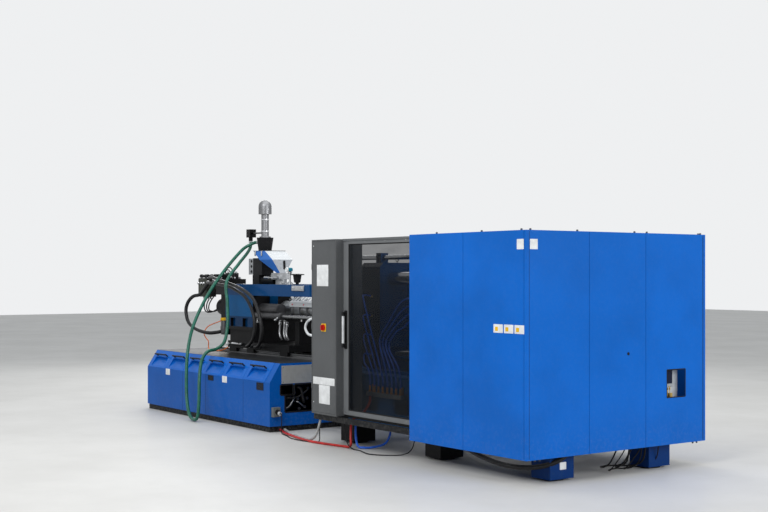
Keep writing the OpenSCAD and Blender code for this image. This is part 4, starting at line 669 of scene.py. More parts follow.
# Routes of the hoses and cables, in metres; the first three are those of the CAD hoses
ROUTES = {
    "material_hose_dress": [
        (-2.3055, -0.05, 2.042), (-2.326, -0.05, 2.042), (-2.348, -0.05, 2.042), (-2.378, -0.064, 2.039),
        (-2.412, -0.104, 2.017), (-2.458, -0.198, 1.948), (-2.495, -0.4, 1.72), (-2.48, -0.6, 1.48),
        (-2.42, -0.78, 1.24), (-2.33, -0.93, 1.01), (-2.26, -1.02, 0.76), (-2.21, -1.06, 0.5),
        (-2.15, -1.085, 0.24), (-2.05, -1.105, 0.075), (-1.93, -1.115, 0.024), (-1.84, -1.11, 0.06),
        (-1.85, -1.085, 0.25), (-1.9, -1.055, 0.48), (-1.95, -1.0, 0.68), (-2.0, -0.9, 0.775),
        (-2.05, -0.76, 0.8), (-2.06, -0.65, 0.88), (-2.11, -0.58, 1.09), (-2.21, -0.53, 1.33),
        (-2.32, -0.48, 1.57), (-2.412, -0.265, 1.785), (-2.466, -0.145, 1.885), (-2.494, -0.082, 1.946),
        (-2.504, -0.055, 1.988), (-2.504, -0.05, 2.016), (-2.504, -0.05, 2.039), (-2.504, -0.05, 2.0615)],
    "pressure_hose_1": [
        (-3.08, -0.2405, 1.57), (-3.08, -0.265, 1.57), (-3.08, -0.292, 1.57), (-3.058, -0.34, 1.564),
        (-2.998, -0.374, 1.557), (-2.88, -0.395, 1.552), (-2.714, -0.405, 1.542), (-2.42, -0.41, 1.515),
        (-2.238, -0.41, 1.477), (-2.009, -0.41, 1.396), (-1.86, -0.41, 1.269), (-1.778, -0.41, 1.106),
        (-1.804, -0.41, 0.94), (-1.88, -0.407, 0.86), (-1.96, -0.398, 0.828), (-2.012, -0.378, 0.821),
        (-2.035, -0.344, 0.821), (-2.035, -0.322, 0.821), (-2.035, -0.3005, 0.821)],
    "pressure_hose_2": [
        (-3.02, -0.2405, 1.57), (-3.02, -0.265, 1.57), (-3.02, -0.292, 1.57), (-3.0, -0.335, 1.588),
        (-2.942, -0.374, 1.618), (-2.82, -0.408, 1.624), (-2.658, -0.43, 1.6), (-2.339, -0.44, 1.55),
        (-2.031, -0.44, 1.488), (-1.77, -0.44, 1.381), (-1.624, -0.44, 1.202), (-1.57, -0.44, 1.04),
        (-1.606, -0.435, 0.9), (-1.69, -0.418, 0.838), (-1.78, -0.402, 0.822), (-1.832, -0.38, 0.821),
        (-1.855, -0.344, 0.821), (-1.855, -0.322, 0.821), (-1.855, -0.3005, 0.821)],
    "drive_loop_hose": [
        (-3.165, -0.2405, 1.57), (-3.17, -0.265, 1.56), (-3.27, -0.285, 1.47), (-3.352, -0.3, 1.405),
        (-3.422, -0.36, 1.379), (-3.464, -0.41, 1.304), (-3.477, -0.43, 1.194), (-3.402, -0.43, 1.056),
        (-3.196, -0.42, 0.973), (-2.958, -0.39, 0.941), (-2.816, -0.345, 0.951), (-2.745, -0.318, 0.965)],
    "signal_cable": [
        (-2.6215, -0.24, 0.8), (-2.66, -0.26, 0.785), (-2.74, -0.31, 0.737), (-2.86, -0.35, 0.726),
        (-2.96, -0.362, 0.728), (-3.007, -0.36, 0.762), (-3.026, -0.35, 0.83), (-3.117, -0.34, 0.875),
        (-3.178, -0.33, 0.931), (-3.2, -0.26, 1.01), (-3.16, -0.12, 1.07), (-3.12, -0.03, 1.114)],
    "white_conduit": [
        (0.028, -0.205, 1.24), (0.0, -0.225, 1.243), (-0.11, -0.33, 1.236), (-0.3, -0.43, 1.212),
        (-0.493, -0.45, 1.184), (-0.588, -0.45, 1.143), (-0.62, -0.45, 1.082), (-0.572, -0.45, 1.024),
        (-0.493, -0.45, 1.007), (-0.3, -0.455, 1.0), (-0.05, -0.46, 1.0), (0.25, -0.47, 1.0),
        (0.44, -0.48, 1.0), (0.52, -0.48, 1.0)],
    "supply_water": [
        (0.84, -0.79, 0.298), (0.846, -0.8, 0.248), (0.89, -0.83, 0.11), (0.96, -0.852, 0.026),
        (1.01, -0.82, 0.014), (1.06, -0.74, 0.017), (1.1, -0.64, 0.045), (1.112, -0.59, 0.12),
        (1.113, -0.58, 0.1985)],
    "return_water": [
        (1.0, -0.741, 0.4995), (1.0, -0.745, 0.44), (0.96, -0.78, 0.35), (0.895, -0.84, 0.29),
        (0.872, -0.868, 0.23), (0.905, -0.898, 0.11), (0.925, -0.91, 0.04), (0.89, -0.914, 0.016),
        (0.791, -0.922, 0.013), (0.482, -0.972, 0.012), (0.198, -0.973, 0.012), (-0.29, -0.874, 0.012),
        (-0.42, -0.835, 0.012), (-0.52, -0.8, 0.015), (-0.58, -0.785, 0.02)],
    "column_conduit": [
        (0.515, -0.975, 0.299), (0.5, -0.98, 0.24), (0.461, -0.98, 0.15), (0.37, -0.962, 0.06),
        (0.25, -0.94, 0.02), (0.104, -0.915, 0.013), (-0.1, -0.88, 0.013), (-0.3, -0.835, 0.013),
        (-0.45, -0.77, 0.013), (-0.53, -0.745, 0.016), (-0.58, -0.735, 0.02)],
    "socket_cable": [
        (-0.45, -0.862, 0.206), (-0.43, -0.862, 0.196), (-0.415, -0.868, 0.13), (-0.412, -0.875, 0.045),
        (-0.37, -0.89, 0.01), (-0.2, -0.935, 0.007), (0.0, -1.0, 0.007), (0.22, -1.003, 0.007),
        (0.37, -0.95, 0.008), (0.417, -0.939, 0.026), (0.438, -0.95, 0.11), (0.458, -0.96, 0.24),
        (0.462, -0.962, 0.299)],
    "guard_cable": [
        (0.852, -0.935, 0.299), (0.86, -0.938, 0.2), (0.905, -0.94, 0.06), (0.99, -0.935, 0.01),
        (1.094, -0.931, 0.007), (1.24, -0.975, 0.007), (1.362, -0.994, 0.007), (1.49, -0.92, 0.007),
        (1.577, -0.779, 0.01), (1.61, -0.7, 0.06), (1.62, -0.665, 0.198)],
    "sagging_hose": [
        (2.7, -0.985, 0.252), (2.74, -0.975, 0.215), (2.88, -0.95, 0.165), (3.08, -0.92, 0.125),
        (3.25, -0.85, 0.11), (3.38, -0.74, 0.125), (3.45, -0.64, 0.165), (3.475, -0.56, 0.215),
        (3.48, -0.52, 0.252)]}


# Where the water hoses meet the platens' unions: x and z
FIXED_WATER = [(0.730, 0.86 + 0.19 * i) for i in range(4)]
MOVING_WATER = [(1.360, 1.43 - 0.075 * i) for i in range(4)]


class MACHINE_OT_hoses(bpy.types.Operator):
    """Material hose, pressure hoses, water hoses and cables"""
    bl_idname = "machine.hoses"
    bl_label = "Hoses and cables"

    def execute(self, context):
        sizes = context.scene.machine_fittings
        carriage, drive, machine = "injection_carriage", "screw_drive", "machine"
        thin = sizes.cable / 2
        hose("material_hose_dress", 0.019, "green_hose", carriage, replaces="material_hose", steps=10)
        for i in (1, 2):
            hose("pressure_hose_%d" % i, 0.019, "black_hose", drive, blend_to=carriage,
                 replaces="pressure_hoses", steps=10)
        hose("drive_loop_hose", 0.022, "black_hose", drive, steps=10)
        hose("signal_cable", 0.006, "orange_cable", carriage, blend_to=drive)
        self.drive_cables(drive)
        hose("white_conduit", 0.013, "white_conduit", machine)
        self.mould_water(sizes.water_hose / 2)
        hose("supply_water", 0.011, "blue_water", machine)
        hose("return_water", 0.012, "red_water", machine)
        hose("column_conduit", 0.012, "grey_cable", machine)
        hose("socket_cable", thin, "cable", machine)
        hose("guard_cable", thin, "cable", machine)
        hose("sagging_hose", 0.021, "black_hose", machine, steps=10)
        self.floor_cables((sizes.cable * 0.7, thin))
        return {"FINISHED"}

    def drive_cables(self, drive):
        """Three loops that hang below the drive's valve deck and two arcs over it."""
        for i in range(3):
            hose("drive_cable_%d" % (i + 1), 0.008, "cable", drive, [
                (-3.175 + 0.03 * i, -0.100 - 0.03 * i, 1.5395),
                (-3.178 + 0.03 * i, -0.105 - 0.03 * i, 1.510),
                (-3.235 - 0.015 * i, -0.130 - 0.02 * i, 1.420),
                (-3.330 - 0.045 * i, -0.150 - 0.015 * i, 1.335),
                (-3.385 - 0.045 * i, -0.155 - 0.01 * i, 1.265 - 0.01 * i),
                (-3.385 - 0.035 * i, -0.150, 1.205 - 0.012 * i), (-3.335 - 0.010 * i, -0.110, 1.190),
                (-3.305, -0.060 + 0.02 * i, 1.215 + 0.02 * i),
                (-3.2870, -0.050 + 0.03 * i, 1.225 + 0.03 * i)])
        for i, (x, y, top) in enumerate([(-3.165, -0.010, 1.745), (-3.145, -0.045, 1.715)]):
            hose("valve_cable_%d" % (i + 1), 0.007, "cable", drive, [
                (x, y, 1.6005), (x - 0.030, y, 1.640), (x - 0.038, y - 0.005, 1.690),
                (x + 0.020, y - 0.010, top - 0.012), (x + 0.090, y - 0.015, top),
                (x + 0.160, y - 0.020, top - 0.030), (x + 0.205, y - 0.025, 1.665),
                (x + 0.217, y - 0.030, 1.625), (x + 0.217, y - 0.030, 1.6005)])

    def mould_water(self, radius):
        """Eight hoses that rise from the manifold, four to each platen's side."""
        low, high = corners("water_manifold")
        xs = low[0] + (np.arange(8) + 0.5) * (high[0] - low[0]) / 8
        y, rise = -0.741, high[2] - 0.012
        for i, (x, (end, z)) in enumerate(zip(xs[:4], FIXED_WATER)):
            hose("fixed_side_water_%d" % (i + 1), radius, "blue_water", "machine", [
                (x, y, rise), (x, y, rise + 0.07), (x - 0.05, -0.730, rise + 0.16), (0.83, -0.690, z - 0.05),
                (end + 0.03, -0.640, z + 0.02), (end + 0.005, -0.580, z + 0.02), (end, -0.522, z + 0.01)])
        for i, (x, (end, z)) in enumerate(zip(xs[4:], MOVING_WATER)):
            hose("moving_side_water_%d" % (i + 1), radius, "blue_water", "machine", [
                (x, y, rise), (x, y, rise + 0.07), (x - 0.07, -0.720, rise + 0.20),
                (1.03 + 0.05 * i, -0.650, 1.03 - 0.02 * i), (1.12 + 0.04 * i, -0.610, 1.20 - 0.03 * i),
                (1.25 + 0.02 * i, -0.575, z - 0.05), (end - 0.005, -0.550, z), (end, -0.522, z)],
                blend_to="moving_platen")

    def floor_cables(self, radii):
        """Four cables that hang from the guard's end frame to the floor and back."""
        for i, (y, spread, low) in enumerate([(0.02, 0.16, 0.045), (0.12, 0.22, 0.012), (0.20, 0.18, 0.030),
                                              (0.31, 0.24, 0.010)]):
            hose("floor_cable_%d" % (i + 1), radii[i % 2], "cable", "machine", [
                (3.470, y, 0.252), (3.465, y - 0.01, 0.190), (3.430, y - spread * 0.3, 0.090),
                (3.380, y - spread * 0.4, low + 0.012), (3.300, y - spread * 0.1, low),
                (3.290, y + spread * 0.4, low), (3.370, y + spread * 0.8, low + 0.01),
                (3.440, y + spread * 0.9, 0.090), (3.475, y + spread * 0.85, 0.190),
                (3.480, y + spread * 0.8, 0.252)])


STEEL = (0.56, 0.57, 0.59)
BRASS = (0.62, 0.42, 0.13)
COPPER = (0.62, 0.28, 0.09)
GALVANISED = (0.46, 0.48, 0.50)
FITTING_BLACK = (0.012, 0.012, 0.013)

# Pairs of a coat's own colour and the colour in its specks
PITCH_COAT = ((0.006, 0.006, 0.007), (0.014, 0.014, 0.015))
# Black of the clamp bed's feet, partly painted shade beneath the machine
FOOT_COAT = ((0.006, 0.006, 0.007), (0.015, 0.015, 0.016))
BLUE_FOOT_COAT = ((0.001, 0.030, 0.150), (0.010, 0.040, 0.130))
MOULD_FACE_COAT = ((0.001, 0.060, 0.210), (0.001, 0.045, 0.160))
# Near-black of the lower door track, painted shade below the door
TRACK_SHADE_COAT = ((0.012, 0.012, 0.013), (0.035, 0.035, 0.036))


def coat(s, specks, pair, low=0.5, high=0.8):
    """One coat of paint: its own colour and, in the specks, the second one of its pair."""
    return s.mix(specks.over(low, high), *pair)


def deck_zone(s, p, base, specks):
    """Black non-slip deck on top of the injection bed, worn to grey by specks."""
    black = s.mix(specks.over(0.5, 0.75) * 0.5, (0.014, 0.015, 0.017), (0.07, 0.072, 0.075))
    return s.mix(s.axes(p)[2].over(0.7175, 0.7185), base, black)


def housing_zone(s, p, base, specks):
    """Dark blue lower band, black foot and black front faces of the injection housing; the black on the front
    faces is partly a black flange and partly painted shade.
    """
    z = s.axes(p)[2]
    # Black foot below z 1.04, and black on faces that point to the clamp, which is partly painted shade
    dark = z.under(1.0395, 1.0405).most(s.facing()[0].over(0.80, 0.85))
    base = s.mix(z.under(1.160, 1.164), base, (0.001, 0.030, 0.095))
    return s.mix(dark, base, coat(s, specks, PITCH_COAT))


def beam_zone(s, p, base, specks):
    """Black end cover on the drive end of the blue side beams."""
    return s.mix(s.axes(p)[0].under(-2.641, -2.639), base, coat(s, specks, PITCH_COAT))


def platen_zone(s, p, base, specks):
    """Deep blue mould face on the fixed platen, whose near-black paint partly stands in for the shade inside
    the guard and for the black mould half that is not built.
    """
    return s.mix(s.facing()[0].over(0.80, 0.85), base, coat(s, specks, MOULD_FACE_COAT, 0.4))


def clamp_zone(s, p, base, specks):
    """Black feet under the blue clamp bed, partly painted shade beneath the machine; all of the bed below z
    0.2 first turns a darker blue, and the foot below the cylinder platen stays that blue.
    """
    x, y, z = s.axes(p)
    low = z.under(0.1995, 0.2005)
    base = s.mix(low, base, coat(s, specks, BLUE_FOOT_COAT))
    return s.mix(low * x.under(2.999, 3.001), base, coat(s, specks, FOOT_COAT))


def door_rail_shade_zone(s, p, base, specks):
    """Near-black lower door track under the grey upper one; the near-black is painted shade below the door.
    """
    return s.mix(s.axes(p)[2].under(0.499, 0.501), base, coat(s, specks, TRACK_SHADE_COAT))


def hopper_zone(s, p, base, specks):
    """Blue flat sides down to the tip, white bevelled front, a funnel face in a darker copy of the white,
    which is painted shade, and a black lid.
    """
    z = s.axes(p)[2]
    blue = s.mix(specks.over(0.4, 0.7) * 0.3, (0.045, 0.185, 0.60), (0.03, 0.15, 0.5))
    pale = coat(s, specks, ((0.46, 0.48, 0.51), (0.37, 0.39, 0.42)), 0.4, 0.7)
    white = s.mix(specks.over(0.5, 0.8) * 0.4, (0.60, 0.62, 0.635), (0.48, 0.50, 0.52))
    # Below z 1.83 the white becomes the darker pale copy: painted shade on the funnel
    base = s.mix(z.over(1.829, 1.831), pale, white)
    base = s.mix(s.facing()[1].size().over(0.55, 0.6), base, blue)
    return s.mix(z.over(1.9352, 1.9356), base, (0.015, 0.015, 0.017))


def feeder_zone(s, p, base, spark):
    """Grey terminal box with a row of dark plugs, behind the black motor."""
    x, y, z = s.axes(p)
    box = x.under(-2.3978, -2.3972) * z.over(1.6505, 1.6515)
    grey = s.mix(spark, (0.36, 0.37, 0.38), (0.42, 0.43, 0.44))
    row = ((z - 1.660) / 0.062).part()
    plug = ((row - 0.5) ** 2 + ((x + 2.4645) / 0.085) ** 2).under(0.07, 0.09) * y.under(-0.0615, -0.061)
    return s.mix(box, base, s.mix(plug, grey, (0.02, 0.02, 0.022)))


def coupling_zone(s, p, base):
    """Black painted hose coupling at the end of the steel arm."""
    return s.mix(s.axes(p)[0].under(-2.440, -2.439), base, (0.010, 0.010, 0.011))


def heat_tint(s, p, base):
    """Straw temper colour along the hot end of the barrel."""
    band = s.noise(s.stretch(p, (5.0, 2.0, 2.0)), 1.0, 4)
    return s.mix(s.axes(p)[0].over(-1.9, 0.5) * band.over(0.3, 0.7) * 0.6, base, (0.34, 0.25, 0.16))


def handle_zone(s, p, base, spark):
    """Black brackets at the ends of the silver grip."""
    z = s.axes(p)[2]
    return s.mix(z.under(1.0035, 1.004).most(z.over(1.2605, 1.261)), base, FITTING_BLACK)


def manifold_zone(s, p, base):
    """Copper fittings on the aluminium bar."""
    copper = s.mix(s.noise(p, 300.0, 3), shade(COPPER, 0.8), shade(COPPER, 1.25))
    return s.mix(s.axes(p)[2].over(0.5400, 0.5404), base, copper)


def socket_zone(s, p, base, spark):
    """Black plug with a pale gland in the grey socket."""
    x = s.axes(p)[0]
    plug = s.mix(x.over(-0.480, -0.477), FITTING_BLACK, (0.40, 0.41, 0.42))
    return s.mix(x.over(-0.5198, -0.5192), base, plug)


def panel_key_zone(s, p, base, spark):
    """Pale keys and a dark blue screen recess on the operator panel."""
    x, y, z = s.axes(p)
    keys = y.over(1.0572, 1.0576) * z.under(1.42, 1.43)
    screen = y.under(1.0534, 1.0538) * y.over(1.05, 1.0505) * z.over(1.449, 1.4495)
    row = ((z - 1.32) / 0.03).over(0.9, 1.1)
    base = s.mix(keys, base, s.mix(row, (0.62, 0.63, 0.63), (0.33, 0.42, 0.52)))
    return s.mix(screen, base, (0.01, 0.035, 0.085))


def lubricator_zone(s, p, base, spark):
    """Brass blocks and a dark display on the lubrication pump."""
    x, y, z = s.axes(p)
    front = x.over(3.4475, 3.448)
    base = s.mix(front * z.under(0.640, 0.641), base, coat(s, spark, (shade(BRASS, 0.8), BRASS), 0.2))
    return s.mix(front * z.over(0.721, 0.722), base, (0.010, 0.014, 0.035))


def column_zone(s, p, base, specks):
    """Faint wipe marks at hand height."""
    wipes = s.noise(s.stretch(p, (6.0, 6.0, 2.0)), 2.0, 5, 0.7).over(0.6, 0.75)
    return s.mix(s.axes(p)[2].within(0.95, 1.35, 0.2) * wipes * 0.15, base, (0.2, 0.2, 0.2))


class MACHINE_OT_finishes(bpy.types.Operator):
    """Paints, metals, plastics and panes of every node"""
    bl_idname = "machine.finishes"
    bl_label = "Finishes"

    def execute(self, context):
        dressed = []
        for rows in (self.paints(context.scene.machine_finishes), self.metals(),
                     self.plastics(), self.rubbers(tuple(context.scene.machine_finishes.hose_green))):
            for finish, material, *nodes in rows:
                PAINTS[finish] = material
                dressed += nodes
                for node in nodes:
                    data = NODES[node].data
                    data.materials.clear()
                    data.materials.append(material)
        if sorted(dressed) != sorted(NODES):
            raise RuntimeError("nodes without a finish: %s" % sorted(set(NODES) ^ set(dressed)))
        return {"FINISHED"}

    def paints(self, values):
        """Rows of a paint's key, its material and the CAD nodes that wear it."""
        wear, gloss = values.wear, values.gloss
        blue, cast, grey, black, pale = [tuple(colour) for colour in (
            values.panel_blue, values.casting_blue, values.column_grey, values.machine_black,
            values.cover_grey)]
        return [
            ("panel", sheet_paint("panel_paint", blue, wear * 0.5, gloss),
             "rear_side_panels", "front_side_panels", "end_panels"),
            # Bed blue at 0.8 of the panel blue: painted shade on the bed
            ("bed", sheet_paint("bed_paint", shade(blue, 0.80), wear * 0.4, gloss, 0.38, 0.0008, deck_zone),
             "injection_bed"),
            ("cover", sheet_paint("bed_cover_paint", blue, wear * 0.4, gloss, 0.33, 0.0006), "bed_covers"),
            ("casting", cast_paint("casting_paint", cast, wear), "moving_platen", "cylinder_platen"),
            ("housing", cast_paint("housing_paint", (0.001, 0.090, 0.260), wear * 0.35, 0.42, housing_zone),
             "injection_housing"),
            # Near-black fixed platen: partly painted shade inside the guard, partly the black mould half
            ("platen", cast_paint("fixed_platen_shade_paint", (0.012, 0.013, 0.015), wear * 0.3, 0.42, platen_zone),
             "fixed_platen"),
            ("clamp", cast_paint("clamp_bed_paint", cast, wear, 0.42, clamp_zone), "clamp_bed"),
            ("beam", sheet_paint("beam_paint", (0.001, 0.052, 0.175), wear * 0.3, gloss, 0.32, 0.0005,
                                 beam_zone), "side_beams"),
            ("frame", sheet_paint("frame_paint", grey, wear, gloss * 0.4, 0.45, 0.0006, column_zone),
             "rear_column", "front_column"),
            ("door", sheet_paint("door_paint", shade(grey, 1.6), wear * 0.6, gloss * 0.4, 0.42, 0.0004),
             "rear_door", "front_door"),
            # Door track: grey above, painted shade in near-black below z 0.5
            ("track", sheet_paint("door_track_paint", shade(grey, 1.3), wear, gloss * 0.4, 0.42, 0.0004,
                                  door_rail_shade_zone), "door_rails"),
            # Near-black guard frame: painted shade under the doors
            ("tube", sheet_paint("frame_tube_shade_paint", shade(black, 1.1), wear, 0.02, 0.5, 0.0004),
             "guard_frame"),
            ("black", cast_paint("drive_paint", shade(black, 0.6), wear * 0.25, 0.42),
             "carriage_base", "thrust_plate", "screw_motor", "hydraulic_pump", "ejector_cylinders"),
            ("plinth", sheet_paint("plinth_paint", shade(black, 0.8), wear, 0.05, 0.6, 0.0006), "bed_plinth"),
            ("pale", sheet_paint("cover_paint", pale, wear * 0.7, gloss * 0.5, 0.36, 0.0006),
             "barrel_cover", "purge_guard"),
            ("hopper", sheet_paint("hopper_paint", pale, wear * 0.4, gloss, 0.3, 0.0003, hopper_zone),
             "hopper"),
        ]

    def metals(self):
        """Rows of a bare metal's key, its material and the CAD nodes that wear it."""
        return [
            ("valve_iron", raw_casting("valve_block_iron", (0.060, 0.064, 0.052), 0.35, 0.5)),
            ("bar", turned_steel("polished_bar", (0.66, 0.67, 0.69), 0.14),
             "tie_bars", "clamp_ram", "safety_bar"),
            ("ground", turned_steel("ground_steel", STEEL, 0.26), "ejector_plate", "screw"),
            ("barrel", turned_steel("barrel_steel", (0.42, 0.42, 0.43), 0.34, heat_tint, 500.0),
             "barrel", "nozzle"),
            ("loader", turned_steel("loader_steel", (0.27, 0.275, 0.285), 0.36, coupling_zone, 30.0, 0.00001),
             "loader_tube"),
            ("rod", turned_steel("rod_steel", (0.30, 0.305, 0.315), 0.24), "carriage_rods"),
            ("band", brushed_plate("heater_band_sheet", GALVANISED, 0.34, 1), "heater_bands"),
            ("end_plate", brushed_plate("end_plate_steel", (0.46, 0.45, 0.42), 0.48, 2, 0.25, 0.35),
             "bed_end_plate"),
            ("gate", brushed_plate("gate_steel", STEEL, 0.28, 1), "hopper_gate"),
            ("rail", turned_steel("rail_steel", (0.22, 0.225, 0.235), 0.32), "slide_rails"),
            ("nut", raw_casting("nut_steel", (0.075, 0.075, 0.08), 0.85, 0.45), "tie_bar_nuts"),
            ("cylinder", raw_casting("cylinder_steel", (0.10, 0.10, 0.105), 0.75, 0.42),
             "clamp_cylinder", "injection_cylinders", "carriage_cylinders"),
            ("aluminium", raw_casting("cast_aluminium", (0.42, 0.43, 0.44), 0.9, 0.42), "throat_block"),
            ("manifold", turned_steel("manifold_metal", (0.50, 0.51, 0.52), 0.35, manifold_zone, 40.0),
             "water_manifold"),
            ("brass", brushed_plate("fitting_brass", BRASS, 0.28, 2)),
            ("chrome", turned_steel("fitting_steel", (0.64, 0.65, 0.67), 0.16, None, 300.0)),
        ]

    def plastics(self):
        """Rows of a plastic's key, its material and the CAD nodes that wear it."""
        return [
            ("black_plastic", moulded("black_plastic", (0.014, 0.014, 0.015), 0.42), "cover_handles"),
            ("cup", moulded("cup_plastic", (0.011, 0.011, 0.012), 0.5, 500.0, 0.0004), "loader_cup"),
            ("feeder", moulded("feeder_paint", (0.014, 0.0145, 0.016), 0.4, 420.0, 0.0003, feeder_zone),
             "feeder_motor"),
            ("handle", moulded("door_grip", (0.60, 0.61, 0.62), 0.3, 900.0, 0.0001, handle_zone, 0.3),
             "rear_door_handle", "front_door_handle"),
            ("red", moulded("red_knob", (0.50, 0.014, 0.010), 0.3, 700.0, 0.0001, None, 0.5),
             "isolator_knob", "stop_button"),
            ("keys", moulded("operator_panel_skin", (0.024, 0.025, 0.028), 0.38, 800.0, 0.0001,
                             panel_key_zone), "operator_panel"),
            ("socket", moulded("socket_shell", (0.13, 0.14, 0.14), 0.4, 700.0, 0.0001, socket_zone),
             "power_socket"),
            ("lubricator", moulded("lubrication_parts", (0.42, 0.44, 0.46), 0.36, 500.0, 0.0002,
                                   lubricator_zone), "lubrication_unit"),
            # Dark, half-opaque door panes: a tinted pane that partly stands in for the shade inside the guard
            ("pane", clear_pane("tinted_shade_pane", (0.004, 0.006, 0.009), 0.50),
             "rear_door_pane", "front_door_pane"),
            ("plate", moulded("bare_plate", (0.72, 0.73, 0.73), 0.35, 400.0, 0.00004)),
            ("yellow", moulded("yellow_plate", (0.72, 0.42, 0.02), 0.35, 400.0, 0.00006)),
            ("teal", moulded("teal_fitting", (0.01, 0.16, 0.24), 0.35, 500.0, 0.0001, None, 0.3)),
            ("red_dot", moulded("red_cap", (0.55, 0.03, 0.06), 0.35, 500.0, 0.0001)),
        ]

    def rubbers(self, green):
        """Rows of a rubber's key, its material and the CAD nodes that wear it."""
        return [
            ("pad", rubber("pad_rubber", (0.016, 0.016, 0.017), 0.7), "levelling_pads"),
            ("black_hose", rubber("black_hose_wall", (0.013, 0.013, 0.014), 0.42, 0.25), "pressure_hoses"),
            ("green_hose", rubber("green_hose_wall", shade(green, 0.8), 0.36, 0.5), "material_hose"),
            ("cable", rubber("cable_sheath", (0.010, 0.010, 0.011), 0.45, 0.1)),
            ("grey_cable", rubber("grey_cable_sheath", (0.30, 0.31, 0.31), 0.5)),
            ("white_conduit", rubber("white_conduit_wall", (0.58, 0.60, 0.62), 0.45)),
            ("orange_cable", rubber("orange_cable_sheath", (0.62, 0.13, 0.02), 0.45)),
            ("blue_water", rubber("blue_water_wall", (0.020, 0.095, 0.48), 0.35, 0.3)),
            ("red_water", rubber("red_water_wall", (0.36, 0.02, 0.018), 0.35, 0.3)),
            ("gasket", rubber("gasket_rubber", (0.011, 0.011, 0.012), 0.6)),
        ]


def at(places, axis):
    """Rows of (point, axis) for turned pieces that share an axis."""
    return [(place, axis) for place in places]


def turned(name, profile, rows, finish, body, steps=24, crease=38.0):
    """Turned shapes, one for each (point, axis) row; profile rows are (radius, distance along the axis)."""
    rings = np.stack([lathe(profile, point, axis, steps) for point, axis in rows])
    return skin(name, rings, finish, body, crease=crease)


def heads(name, places, normal, radius, height, finish, body="machine", steps=14):
    """Round screw heads: flat foot, rounded rim over a quarter turn and a low dome."""
    turn = np.radians(np.linspace(0, 80, 5))
    rim = np.stack([radius * (0.82 + 0.18 * np.cos(turn)), height * (0.45 + 0.4 * np.sin(turn))], -1)
    profile = np.concatenate([[[radius, 0.0]], rim, [[radius * 0.25, height]]])
    return turned(name, profile, at(places, normal), finish, body, steps)


def hex_heads(name, places, normal, across, height, finish, body):
    """Hexagon heads with a chamfer: six-sided turned profiles."""
    r = across / math.sqrt(3)
    profile = [(r, 0), (r, height * 0.8), (r * 0.88, height), (r * 0.3, height)]
    return turned(name, profile, at(places, normal), finish, body, 6, 20)


def ferrules(name, rows, finish, body, radius, length, steps=20):
    """Crimped hose ends or unions, one for each (point, direction) row: a tube with two grooves."""
    neck = radius * 0.9
    profile = [(neck, 0), (radius, 0.002), (radius, length * 0.3), (neck, length * 0.34),
               (neck, length * 0.42), (radius, length * 0.46), (radius, length * 0.75),
               (radius * 0.85, length)]
    return turned(name, profile, rows, finish, body, steps)


def pipe(name, points, radius, finish, body, sides=14):
    """Bent pipe: a circle carried along the smooth path through points."""
    return skin(name, sweep(smooth_path(points, 8), circle(radius, sides)), finish, body)


def blocks(name, size, corner, places, normal, thickness, edge, finish, body, up=UP):
    """Blocks with round corners, one at each place, that rise from it along the normal."""
    outline = rounded(*size, corner)
    rings = np.stack([slab(outline, place, normal, thickness, edge, up) for place in places])
    return skin(name, rings, finish, body)


def plate(name, size, centre, normal, finish="plate", body="machine", thickness=0.0012, corner=None):
    """Thin plate with round corners that lies on a face."""
    corner = corner or bpy.context.scene.machine_fittings.label_bevel
    return blocks(name, size, min(corner, min(size) * 0.45), [centre], normal, thickness, thickness * 0.45,
                  finish, body)


class MACHINE_OT_doors(bpy.types.Operator):
    """Pane gaskets, edge seals, handle plates and screws of both doors"""
    bl_idname = "machine.doors"
    bl_label = "Door fittings"

    def execute(self, context):
        gasket = context.scene.machine_fittings.gasket
        stiles, rails, pane_depth = 0.160, 0.084, 0.012
        lip = [(0.0, 0.0), (-gasket, 0.0), (-gasket, 0.004), (-gasket * 0.55, 0.008), (0.0, 0.0085)]
        bulb = np.array([(0, -0.008, 0), (-0.0025, -0.006, 0), (-0.0025, 0, 0), (-0.0025, 0.006, 0),
                         (0, 0.008, 0)])
        for name, side in SIDES:
            door, normal = name + "_door", (0, side, 0)
            low, high = corners(door)
            face = low[1] if side < 0 else high[1]
            centre = (low + high) / 2
            centre[1] = face - side * pane_depth
            opening = rounded(high[0] - low[0] - stiles, high[2] - low[2] - rails, 0.02)
            edging(name + "_pane_gasket", opening, centre, normal, lip, door)
            places = [(x, face, z) for x in np.linspace(low[0] + 0.04, high[0] - 0.2, 4)
                      for z in (low[2] + 0.021, high[2] - 0.021)]
            heads(door + "_screws", places, normal, 0.0045, 0.0022, "chrome", door)
            grip = sum(corners(door + "_handle")) / 2
            plate(name + "_handle_plate", (0.050, 0.365), (grip[0], face, grip[2]), normal, "black_plastic",
                  door, 0.004, 0.010)
            ends = [(low[0] + 0.0003, centre[1] - side * 0.008, z) for z in (low[2] + 0.02, high[2] - 0.02)]
            skin(door + "_seal", np.array(ends)[:, None] + bulb, "gasket", door)
        return {"FINISHED"}


